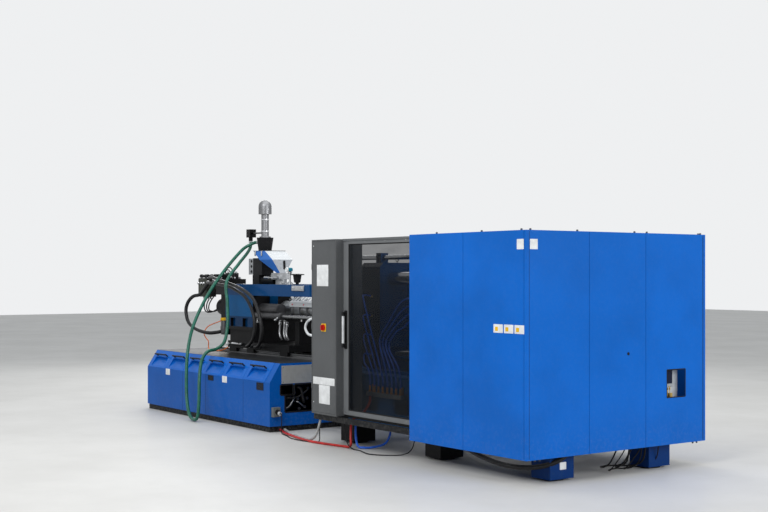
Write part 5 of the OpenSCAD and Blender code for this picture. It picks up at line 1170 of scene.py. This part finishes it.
class MACHINE_OT_columns(bpy.types.Operator):
    """Isolator plate, bare plates, hinges and screws of the columns"""
    bl_idname = "machine.columns"
    bl_label = "Column fittings"

    def execute(self, context):
        radius = context.scene.machine_fittings.screw_radius
        inset = 0.036
        for name, side in SIDES:
            low, high = corners(name + "_column")
            face = low[1] if side < 0 else high[1]
            xs = (low[0] + inset,) if side < 0 else (low[0] + inset, high[0] - inset)
            heads(name + "_column_screws", [(x, face, z) for x in xs for z in (0.42, 1.93)], (0, side, 0),
                  radius, 0.003, "plate")
            if side < 0:
                hinge = [(0.009, 0), (0.010, 0.002), (0.010, 0.056), (0.009, 0.058), (0.003, 0.058)]
                places = [(low[0] + 0.006, face + 0.004, z) for z in (0.55, 1.12, 1.70)]
                turned("rear_column_hinges", hinge, at(places, UP), "frame", "machine", 16)
        knob = sum(corners("isolator_knob")) / 2
        face = corners("rear_column")[0][1]
        square = rounded(0.078, 0.078, 0.006, 8)
        turn = np.arctan2(square[:, 1], square[:, 0])
        hole = 0.0315 * np.stack([np.cos(turn), np.sin(turn)], -1)
        loops = [(hole, 0.0), (hole, 0.0022), (square * 0.99, 0.0024), (square, 0.0016), (square, 0.0)]
        rings = np.stack([np.stack([knob[0] + p[:, 0], np.full(len(p), face - h), knob[2] + p[:, 1]], -1)
                          for p, h in loops], 1)
        skin("isolator_plate", rings, "yellow", "machine", closed=True)
        for name, size, x, z in (("column_sheet_high", (0.200, 0.205), 0.640, 1.645),
                                 ("column_strip", (0.376, 0.070), 0.660, 0.630),
                                 ("column_sheet_low", (0.190, 0.180), 0.672, 0.502)):
            plate(name, size, (x, face, z), TO_REAR)
        plate("front_column_sheet", (0.120, 0.080), (0.660, -face, 0.90), TO_FRONT)
        return {"FINISHED"}


class MACHINE_OT_panels(bpy.types.Operator):
    """Bare plates, lock, seams, studs, screws and the cut-out trim of the guard, and the platens' eyes"""
    bl_idname = "machine.panels"
    bl_label = "Guard fittings"

    def execute(self, context):
        low, high = corners("end_panels")
        end_x, side_y, foot, top = high[0], corners("rear_side_panels")[0][1], low[2], high[2]
        plate("corner_plate_side", (0.080, 0.080), (3.466, side_y, 1.890), TO_REAR)
        plate("corner_plate_end", (0.080, 0.080), (end_x, -0.967, 1.890), TO_CLAMP)
        for i in range(3):
            x = 3.455 - 0.125 * i
            plate("side_strip_%d" % (i + 1), (0.112, 0.068), (x, side_y, 1.225), TO_REAR)
            plate("side_strip_mark_%d" % (i + 1), (0.036, 0.034), (x - 0.020, side_y - 0.001, 1.222), TO_REAR,
                  "yellow", thickness=0.0005)
        lock = [(0.013, 0), (0.0135, 0.0025), (0.011, 0.0040), (0.007, 0.0034), (0.002, 0.0030)]
        turned("end_panel_locks", lock, at([(end_x, 0.085, 1.0)], TO_CLAMP), "black_plastic", "machine", 20)
        trim = [(0.0, -0.002), (-0.003, -0.002), (-0.004, 0.0), (-0.002, 0.0016), (0.004, 0.0016),
                (0.005, 0.0)]
        edging("sight_trim", rounded(0.230, 0.235, 0.004), (end_x, 0.670, 0.7275), TO_CLAMP, trim)
        for i, (y, width) in enumerate([(-1.014, 0.0035), (1.014, 0.008)]):
            plate("end_panel_seam_%d" % (i + 1), (width, top - foot - 0.02), (end_x, y, (foot + top) / 2),
                  TO_CLAMP, "gasket", thickness=0.0004, corner=0.001)
        rim_x = 3.5225
        rim = [(x, s * 1.0325, top) for x in (2.40, 2.988, 3.466) for s in (-1, 1)]
        rim += [(rim_x, y, top) for y in (-0.992, -0.487, 0.171, 0.319, 0.992)]
        heads("panel_top_studs", rim, UP, 0.009, 0.014, "nut")
        feet = [(rim_x, s * y, foot) for y in (0.895, 0.945) for s in (-1, 1)]
        heads("panel_foot_studs", feet, DOWN, 0.008, 0.016, "nut")
        for name, side in SIDES:
            places = [(x, -side * side_y, foot + 0.006) for x in (2.1, 2.4, 2.7, 2.85, 3.15, 3.45)]
            heads(name + "_panel_foot_screws", places, (0, side, 0), 0.004, 0.0015, "panel")
        turn = np.linspace(0, 2 * np.pi, 25)
        eye = np.stack([0.022 * np.sin(turn), 0 * turn, 0.022 - 0.022 * np.cos(turn)], -1)
        path = np.concatenate([[(0, 0, -0.014), (0, 0, -0.007)], eye])
        bolt = sweep(path, circle(0.005, 20), (0.0, 1.0, 0.05))
        places = [(x, y, 1.784) for x in (0.70, 2.865) for y in (-0.2, 0.2)]
        skin("platen_lifting_eyes", np.stack([bolt + place for place in places]), "chrome", "machine")
        return {"FINISHED"}


class MACHINE_OT_bed(bpy.types.Operator):
    """Vents, plates, seams, hatch edging and the pipes in the hatch of the injection bed"""
    bl_idname = "machine.bed"
    bl_label = "Injection bed fittings"

    def execute(self, context):
        low, high = corners("injection_bed")
        side_y, end = -low[1], high[0]
        for name, side in SIDES:
            for i, (x, z, *size) in enumerate([(-0.765, 0.470, 0.145, 0.080), (-1.873, 0.486, 0.130, 0.058)]):
                self.vent("%s_vent_%%s_%d" % (name, i + 1), (x, side * side_y, z), side, size)
            for i, x in enumerate((-2.58, -2.00, -1.129)):
                plate("%s_bed_seam_%d" % (name, i + 1), (0.0035, 0.440), (x, side * side_y, 0.290),
                      (0, side, 0), "gasket", thickness=0.0004, corner=0.0012)
        for i, (x, z) in enumerate([(-2.970, 0.486), (-1.549, 0.492)]):
            plate("bed_plate_%d" % (i + 1), (0.110, 0.072), (x, -side_y, z), TO_REAR)
        lip = [(-0.003, -0.004), (0.010, -0.0002), (0.012, 0.001), (0.008, 0.004), (-0.002, 0.004),
               (-0.004, 0.0)]
        cutouts = {
            "hatch": [(-0.735, 0.205), (-0.395, 0.205), (-0.395, 0.488), (-0.618, 0.488), (-0.618, 0.378),
                      (-0.735, 0.378)],
            "slot": [(-0.791, 0.388), (-0.641, 0.388), (-0.641, 0.488), (-0.791, 0.488)]}
        for name, outline in cutouts.items():
            edging(name + "_edging", cut_corners(outline, 0.004), (end, 0, 0), TO_CLAMP, lip)
        low, high = corners("bed_end_plate")
        inset = 0.016
        places = [(high[0], y, z) for y in (low[1] + inset, high[1] - inset)
                  for z in (low[2] + inset, high[2] - inset)]
        heads("end_plate_screws", places, TO_CLAMP, 0.005, 0.0025, "chrome")
        self.hatch_pipes()
        return {"FINISHED"}

    def vent(self, name, centre, side, size):
        """Frame and slanted slats of one vent; a slat is a four-cornered blade between the frame's sides."""
        width, height = size
        rim = [(-0.006, 0.0), (0.0, 0.0), (0.0, 0.002), (-0.002, 0.004), (-0.006, 0.004)]
        edging(name % "frame", rounded(width, height, 0.006), centre, (0, side, 0), rim,
               finish="black_plastic")
        count, clear, half = int(height / 0.011), height - 0.014, width / 2 - 0.006
        blade = np.array([(-0.0042, 0.0004), (0.0042, 0.0004), (0.0044, 0.0012), (-0.0030, 0.0034)])
        rows = (np.arange(count) + 0.5) / count * clear - clear / 2
        slats = np.zeros((count, 2, 4, 3)) + centre
        slats[..., 0] += np.array([-half, half])[None, :, None]
        slats[..., 1] += side * blade[:, 1]
        slats[..., 2] += rows[:, None, None] + blade[:, 0]
        skin(name % "slats", slats, "black_plastic", "machine")

    def hatch_pipes(self):
        """Two steel pipes, two hoses and the unions in front of the pump."""
        pipes = [
            [(-0.660, -0.705, 0.235), (-0.606, -0.700, 0.240), (-0.596, -0.660, 0.262),
             (-0.600, -0.610, 0.330), (-0.650, -0.585, 0.350)],
            [(-0.660, -0.470, 0.240), (-0.608, -0.485, 0.245), (-0.598, -0.515, 0.270),
             (-0.604, -0.560, 0.300), (-0.660, -0.585, 0.300)],
            [(-0.670, -0.420, 0.440), (-0.608, -0.425, 0.432), (-0.598, -0.470, 0.400),
             (-0.600, -0.560, 0.352), (-0.608, -0.660, 0.345), (-0.670, -0.700, 0.345)],
            [(-0.670, -0.560, 0.460), (-0.606, -0.550, 0.455), (-0.596, -0.520, 0.430),
             (-0.596, -0.500, 0.350), (-0.606, -0.480, 0.300), (-0.670, -0.440, 0.290)]]
        for i, (points, radius) in enumerate(zip(pipes, (0.010, 0.010, 0.010, 0.015))):
            pipe("hatch_pipe_%d" % (i + 1), points, radius, "black_hose" if i > 1 else "rail", "machine")
        unions = [(-0.612, y, z) for y, z in (
            (-0.700, 0.236), (-0.640, 0.285), (-0.560, 0.330), (-0.470, 0.240), (-0.440, 0.330),
            (-0.600, 0.400), (-0.430, 0.440), (-0.540, 0.225))]
        ferrules("hatch_unions", at(unions, (1, 0, 0.1)), "nut", "machine", 0.017, 0.018, 6)


class MACHINE_OT_injection_unit(bpy.types.Operator):
    """Filter, regulator, valves, bolts, unions, pipes and plugs of the injection unit"""
    bl_idname = "machine.injection_unit"
    bl_label = "Injection unit fittings"

    def execute(self, context):
        carriage, drive = "injection_carriage", "screw_drive"
        self.air_set(carriage)
        self.oil_filter(drive)
        self.valve_deck(drive)
        self.side_valve(drive)
        for i in (1, 2):
            route = ROUTES["pressure_hose_%d" % i]
            for name, end, body in (("union", route[0], drive), ("foot", route[-1], carriage)):
                ferrules("pressure_hose_%s_%d" % (name, i), at([end], TO_REAR), "chrome", body, 0.024, 0.036)
        self.gauges(carriage)
        self.bolts(carriage, drive)
        self.cylinder_pipes(carriage)
        places = [(x, corners("barrel_cover")[0][1], 1.317) for x in (-1.30, -1.06, -0.85)]
        heads("cover_caps", places, TO_REAR, 0.008, 0.008, "red_dot", "barrel_cover", 16)
        pipe("throat_water_pipe", [
            (-1.780, -0.030, 1.530), (-1.780, -0.120, 1.530), (-1.810, -0.190, 1.520),
            (-1.930, -0.235, 1.470), (-1.990, -0.245, 1.430), (-1.995, -0.245, 1.4105)],
            0.008, "chrome", carriage)
        plug = [(0.012, 0.0), (0.012, 0.010), (0.018, 0.012), (0.018, 0.040), (0.014, 0.044), (0.005, 0.044)]
        places = [(x, 0.0, corners("heater_bands")[1][2]) for x in (-1.62, -0.67)]
        turned("heater_plugs", plug, at(places, UP), "plate", carriage, 16)
        return {"FINISHED"}

    def air_set(self, carriage):
        """Filter cup and pressure regulator with its dial on the rear side beam."""
        y, top = -0.299, corners("side_beams")[1][2]
        cup_x, regulator_x, stem_height = -1.030, -1.185, 0.146
        cup = [(0.030, 0.0), (0.030, 0.004), (0.018, 0.006), (0.018, 0.020), (0.036, 0.026), (0.048, 0.104),
               (0.050, 0.106), (0.078, 0.107), (0.080, 0.110), (0.078, 0.117), (0.040, 0.121), (0.012, 0.122)]
        turned("filter_cup", cup, at([(cup_x, y, top)], UP), "cup", carriage, 36)
        stem = [(0.020, 0.0), (0.020, 0.012), (0.012, 0.014), (0.012, 0.120), (0.022, 0.124), (0.024, 0.130),
                (0.024, 0.142), (0.014, stem_height)]
        turned("regulator_stem", stem, at([(regulator_x, y, top)], UP), "chrome", carriage)
        body = [(0.014, 0.0), (0.030, 0.003), (0.032, 0.010), (0.032, 0.036), (0.026, 0.042), (0.012, 0.043)]
        turned("regulator_body", body, at([(regulator_x, y, top + stem_height)], UP), "teal", carriage, 28)
        dial = [(0.024, 0.0), (0.026, 0.003), (0.026, 0.014), (0.024, 0.017), (0.021, 0.015), (0.004, 0.015)]
        place = (regulator_x, y - 0.032, top + stem_height + 0.022)
        turned("regulator_dial", dial, at([place], TO_REAR), "plate", carriage, 28)

    def oil_filter(self, drive):
        """Oil filter with a yellow lid on a bracket of the thrust plate."""
        x, y, foot, height = -2.718, -0.296, 0.930, 0.166
        pot = [(0.018, 0.0), (0.038, 0.004), (0.041, 0.012), (0.041, 0.150), (0.036, 0.160), (0.036, height)]
        turned("oil_filter_pot", pot, at([(x, y, foot)], UP), "cylinder", drive, 32)
        lid = [(0.036, 0.0), (0.046, 0.002), (0.047, 0.006), (0.047, 0.030), (0.044, 0.034), (0.018, 0.036)]
        turned("oil_filter_cap", lid, at([(x, y, foot + height)], UP), "yellow", drive, 10)
        place = (x - 0.072, corners("thrust_plate")[0][1], 1.00)
        blocks("oil_filter_bracket", (0.190, 0.050), 0.006, [place], TO_REAR, 0.010, 0.003, "black", drive)

    def valve_deck(self, drive):
        """Unions, coils and solenoids on the valve deck of the screw drive."""
        unions = [(x, y, VALVE_DECK) for x in (-3.12, -3.04, -2.97) for y in (-0.21, -0.02, 0.06)]
        ferrules("valve_unions", at(unions, UP), "chrome", drive, 0.018, 0.026, 6)
        height = 0.075
        coils = np.array([(x, y, VALVE_DECK) for x, y in ((-3.10, 0.045), (-3.035, 0.045), (-2.98, -0.10))])
        blocks("valve_coils", (0.046, 0.046), 0.007, coils, UP, height, 0.004, "black_plastic", drive,
               TO_FRONT)
        stub = [(0.014, 0), (0.014, 0.02), (0.010, 0.024), (0.004, 0.024)]
        turned("valve_coil_nuts", stub, at(coils + (0, 0, height), UP), "chrome", drive, 16)
        solenoid = [(0.022, 0), (0.022, 0.010), (0.026, 0.012), (0.026, 0.080), (0.014, 0.084),
                    (0.014, 0.104), (0.005, 0.106)]
        places = [(-3.195, y, 1.570) for y in (-0.190, -0.120, 0.010)]
        turned("valve_solenoids", solenoid, at(places, TO_DRIVE), "black_plastic", drive, 20)

    def side_valve(self, drive):
        """Valve block beside the screw motor, on a bracket of the valve deck, with ports and two spools."""
        x0, x1, y0, y1, foot = -3.525, -3.300, -0.235, -0.095, 1.375
        x, y, bracket, thick = (x0 + x1) / 2, (y0 + y1) / 2, 0.375, 0.010
        deck = VALVE_DECK + 0.0005
        blocks("drive_valve_block", (x1 - x0, y1 - y0), 0.008, [(x, y, foot)], UP, VALVE_DECK - foot, 0.005,
               "valve_iron", drive, TO_FRONT)
        blocks("drive_valve_bracket", (bracket, 0.130), 0.006, [(x0 + bracket / 2, y, deck)], UP, thick,
               0.002, "black", drive, TO_FRONT)
        places = [(bolt, y + s * 0.040, deck + thick) for bolt in (x0 + 0.03, x1 - 0.03, -3.168)
                  for s in (-1, 1)]
        hex_heads("drive_valve_bolts", places, UP, 0.016, 0.009, "chrome", drive)
        ports = at([(port, y, foot + 0.002) for port in (-3.490, -3.435, -3.380, -3.330)], DOWN)
        ports += at([(port, y0 + 0.002, 1.545) for port in (-3.480, -3.410, -3.345)], TO_REAR)
        ferrules("drive_valve_ports", ports, "chrome", drive, 0.018, 0.030, 6)
        spool = [(0.016, 0), (0.024, 0.002), (0.024, 0.030), (0.018, 0.034), (0.018, 0.150), (0.024, 0.154),
                 (0.024, 0.196), (0.010, 0.200)]
        places = [(x0 + 0.005, y + s * 0.030, VALVE_DECK + 0.035) for s in (-1, 1)]
        turned("drive_valve_spools", spool, at(places, TO_CLAMP), "black_plastic", drive, 20)

    def gauges(self, carriage):
        """Pale gauge ball, position sensor and the bracket at the front of the rear side beam."""
        ball = [(0.007, 0.0), (0.007, 0.012), (0.014, 0.015), (0.020, 0.024), (0.021, 0.032), (0.018, 0.042),
                (0.010, 0.050), (0.003, 0.052)]
        turned("gauge_ball", ball, at([(-2.576, -0.3003, 0.824)], TO_REAR), "plate", carriage)
        tube = [(0.012, 0.0), (0.019, 0.004), (0.020, 0.030), (0.017, 0.034), (0.017, 0.200), (0.020, 0.204),
                (0.020, 0.230), (0.012, 0.234)]
        turned("position_sensor", tube, at([(-2.477, -0.3205, 0.830)], TO_CLAMP), "chrome", carriage)
        x, z, thick = -0.955, 1.503, 0.014
        face = corners("side_beams")[0][1]
        blocks("beam_bracket", (0.250, 0.058), 0.006, [(x, face, z)], TO_REAR, thick, 0.003, "gate", carriage)
        places = [(x + s * 0.095, face - thick, z) for s in (-1, 1)]
        hex_heads("beam_bracket_bolts", places, TO_REAR, 0.016, 0.010, "chrome", carriage)

    def bolts(self, carriage, drive):
        """Bolts of the housing, the screw motor's flange and the throat block."""
        top = corners("injection_housing")[1][2]
        hex_heads("housing_bolts", [(x, y, top) for x in (-2.56, -2.42, -1.99) for y in (-0.22, 0.22)],
                  UP, 0.024, 0.015, "nut", carriage)
        pitch, flange_x = 0.147, corners("thrust_plate")[0][0]
        hex_heads("motor_bolts", [(flange_x, pitch * math.cos(a), SCREW_AXIS_Z + pitch * math.sin(a))
                                  for a in np.radians(np.arange(0, 360, 45) + 22.5)],
                  TO_DRIVE, 0.019, 0.013, "nut", drive)
        half, face = 0.071, corners("throat_block")[0][1]
        places = [(THROAT_X + dx, dy, 1.434) for dx in (-half, half) for dy in (-half, half)]
        hex_heads("throat_bolts", places, UP, 0.017, 0.010, "chrome", carriage)
        places = [(THROAT_X + dx, face, 1.636) for dx in (-0.068, 0.068)]
        hex_heads("throat_top_bolts", places, TO_REAR, 0.015, 0.008, "chrome", carriage)

    def cylinder_pipes(self, carriage):
        """Ports of the rear carriage cylinder and the three pipes below it."""
        xs, y = (-1.385, -1.290, -1.240), -0.302
        ports = [((xs[0], y, 1.141), (0, -0.2, -1)), ((xs[0], -0.334, 1.162), (0, -1, -0.6)),
                 ((xs[1], y, 1.141), DOWN), ((-1.900, -0.296, 1.147), (0, -0.1, -1)),
                 ((xs[2], y, 1.125), DOWN)]
        ferrules("cylinder_ports", ports, "rod", carriage, 0.017, 0.056)
        for i, x in enumerate(xs):
            pipe("cylinder_pipe_low_%d" % (i + 1), [
                (x, y - 0.004, 1.095), (x, y - 0.008, 1.050), (x + 0.004, y - 0.014, 1.000),
                (x + 0.020, y - 0.014, 0.955), (x + 0.022, y, 0.920)], 0.011, "rod", carriage)


class MACHINE_OT_feed(bpy.types.Operator):
    """Sight window and latches of the hopper, clamps and hose ends of the loader"""
    bl_idname = "machine.feed"
    bl_label = "Feed fittings"

    def execute(self, context):
        carriage = "injection_carriage"
        loader_x, loader_y = -2.160, -0.050
        sloped = (0.998, 0.0, 0.064)
        blocks("hopper_sight", (0.030, 0.104), 0.012, [(THROAT_X + 0.0344, 0.022, 1.768)], sloped, 0.003,
               0.0012, "gasket", carriage)
        blocks("hopper_latches", (0.026, 0.060), 0.004, [(x, -0.1380, 1.905) for x in (-2.230, -2.080)],
               TO_REAR, 0.012, 0.003, "chrome", carriage)
        ends = [((-2.285, loader_y, 2.042), (-1, -0.2, 0)), ((-2.504, loader_y, 2.075), DOWN)]
        ferrules("material_hose_ends", ends, "chrome", carriage, 0.0245, 0.040, 24)
        band = [(0.0465, 0.0), (0.0485, 0.002), (0.0485, 0.016), (0.0465, 0.018)]
        places = [(loader_x, loader_y, z) for z in (2.16, 2.30)]
        turned("loader_clamps", band, at(places, UP), "chrome", carriage, 40)
        heads("loader_screws", [(loader_x + 0.078, loader_y, 2.43)], TO_CLAMP, 0.005, 0.003, "chrome",
              carriage)
        return {"FINISHED"}


class MACHINE_OT_clamp(bpy.types.Operator):
    """Water unions, cylinder pipes, ejector bolts and lubrication tubes inside the guard"""
    bl_idname = "machine.clamp"
    bl_label = "Clamp fittings"

    def execute(self, context):
        machine, moving = "machine", "moving_platen"
        for name, ends, rise, body in (("fixed_side_unions", FIXED_WATER, 0.01, machine),
                                       ("moving_side_unions", MOVING_WATER, 0.0, moving)):
            places = [(x, -0.518, z + rise) for x, z in ends]
            ferrules(name, at(places, TO_REAR), "brass", body, 0.011, 0.028, 6)
        pipes = [
            [(3.20, -0.20, 1.13), (3.20, -0.26, 1.08), (3.20, -0.31, 1.00), (3.18, -0.33, 0.88),
             (3.14, -0.33, 0.72)],
            [(3.30, 0.20, 1.13), (3.30, 0.27, 1.09), (3.30, 0.32, 1.00), (3.28, 0.33, 0.88),
             (3.24, 0.33, 0.72)],
            [(3.25, 0.0, 1.455), (3.25, 0.0, 1.52), (3.22, -0.06, 1.58), (3.12, -0.20, 1.60),
             (2.98, -0.26, 1.60), (2.90, -0.27, 1.60)]]
        for i, points in enumerate(pipes):
            pipe("cylinder_pipe_%d" % (i + 1), points, 0.021, "chrome", machine, 18)
        places = [(1.795, y, SCREW_AXIS_Z + s * 0.3 + z) for s in (-1, 1) for y in (-0.05, 0.05)
                  for z in (-0.05, 0.05)]
        hex_heads("ejector_bolts", places, TO_CLAMP, 0.017, 0.011, "chrome", moving)
        ys = 0.570 + 0.026 * np.arange(4)
        tubes = [smooth_path([(3.475, y, 0.700), (3.480, y, 0.660), (3.478, y, 0.600),
                              (3.470, y - 0.01, 0.560), (3.450, y - 0.02, 0.530)], 6) for y in ys]
        rings = np.stack([sweep(tube, circle(0.004, 10)) for tube in tubes])
        skin("lubrication_tubes", rings, "brass", machine)
        unions = at([(3.480, y, 0.690) for y in ys], DOWN)
        ferrules("lubrication_unions", unions, "brass", machine, 0.008, 0.022, 6)
        plate("leg_plate", (0.070, 0.060), (corners("clamp_bed")[1][0], -0.560, 0.120), TO_CLAMP)
        return {"FINISHED"}


class MACHINE_OT_operator_panel(bpy.types.Operator):
    """Screen glass with its bezel and the stop button's collar"""
    bl_idname = "machine.operator_panel"
    bl_label = "Operator panel"

    def execute(self, context):
        low, high = corners("operator_panel")
        screen = ((low[0] + high[0]) / 2, 1.053, 1.5575)
        bezel = [(0.0, 0.0), (-0.008, 0.0), (-0.009, 0.002), (-0.006, 0.0052), (0.0, 0.0055)]
        edging("screen_bezel", rounded(0.280, 0.215, 0.006), screen, TO_FRONT, bezel, finish="black_plastic")
        blocks("screen_glass", (0.262, 0.197), 0.004, [screen], TO_FRONT, 0.0018, 0.0008, "pane", "machine")
        stop = (0.775, 1.057, 1.275)
        collar = [(0.026, 0), (0.026, 0.0020), (0.024, 0.0026), (0.0215, 0.0026), (0.0215, 0.0)]
        skin("stop_collar", lathe(collar, stop, TO_FRONT, 28), "yellow", "machine", closed=True)
        return {"FINISHED"}


OPERATORS = (
    MACHINE_OT_stage, MACHINE_OT_finishes, MACHINE_OT_hoses, MACHINE_OT_doors, MACHINE_OT_columns,
    MACHINE_OT_panels, MACHINE_OT_bed, MACHINE_OT_injection_unit, MACHINE_OT_feed, MACHINE_OT_clamp,
    MACHINE_OT_operator_panel)


class MACHINE_PT_dress(bpy.types.Panel):
    """Sidebar panel with the sizes and one button for each group of pieces"""
    bl_idname = "MACHINE_PT_dress"
    bl_label = "Injection moulding machine"
    bl_space_type = "VIEW_3D"
    bl_region_type = "UI"
    bl_category = "Machine"

    def draw(self, context):
        layout = self.layout
        for group in (context.scene.machine_stage, context.scene.machine_finishes,
                      context.scene.machine_fittings):
            box = layout.box()
            for key in group.__annotations__:
                box.prop(group, key)
        for operator in OPERATORS:
            layout.operator(operator.bl_idname)


CLASSES = (FinishSettings, FittingSettings, StageSettings, *OPERATORS, MACHINE_PT_dress)


def register():
    for item in CLASSES:
        bpy.utils.register_class(item)
    bpy.types.Scene.machine_finishes = PointerProperty(type=FinishSettings)
    bpy.types.Scene.machine_fittings = PointerProperty(type=FittingSettings)
    bpy.types.Scene.machine_stage = PointerProperty(type=StageSettings)


def unregister():
    del bpy.types.Scene.machine_stage
    del bpy.types.Scene.machine_fittings
    del bpy.types.Scene.machine_finishes
    for item in reversed(CLASSES):
        bpy.utils.unregister_class(item)


def main():
    """Registers the add-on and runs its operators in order."""
    register()
    bpy.ops.machine.stage()
    bpy.ops.machine.finishes()
    bpy.ops.machine.hoses()
    bpy.ops.machine.doors()
    bpy.ops.machine.columns()
    bpy.ops.machine.panels()
    bpy.ops.machine.bed()
    bpy.ops.machine.injection_unit()
    bpy.ops.machine.feed()
    bpy.ops.machine.clamp()
    bpy.ops.machine.operator_panel()


if __name__ == "__main__":
    main()
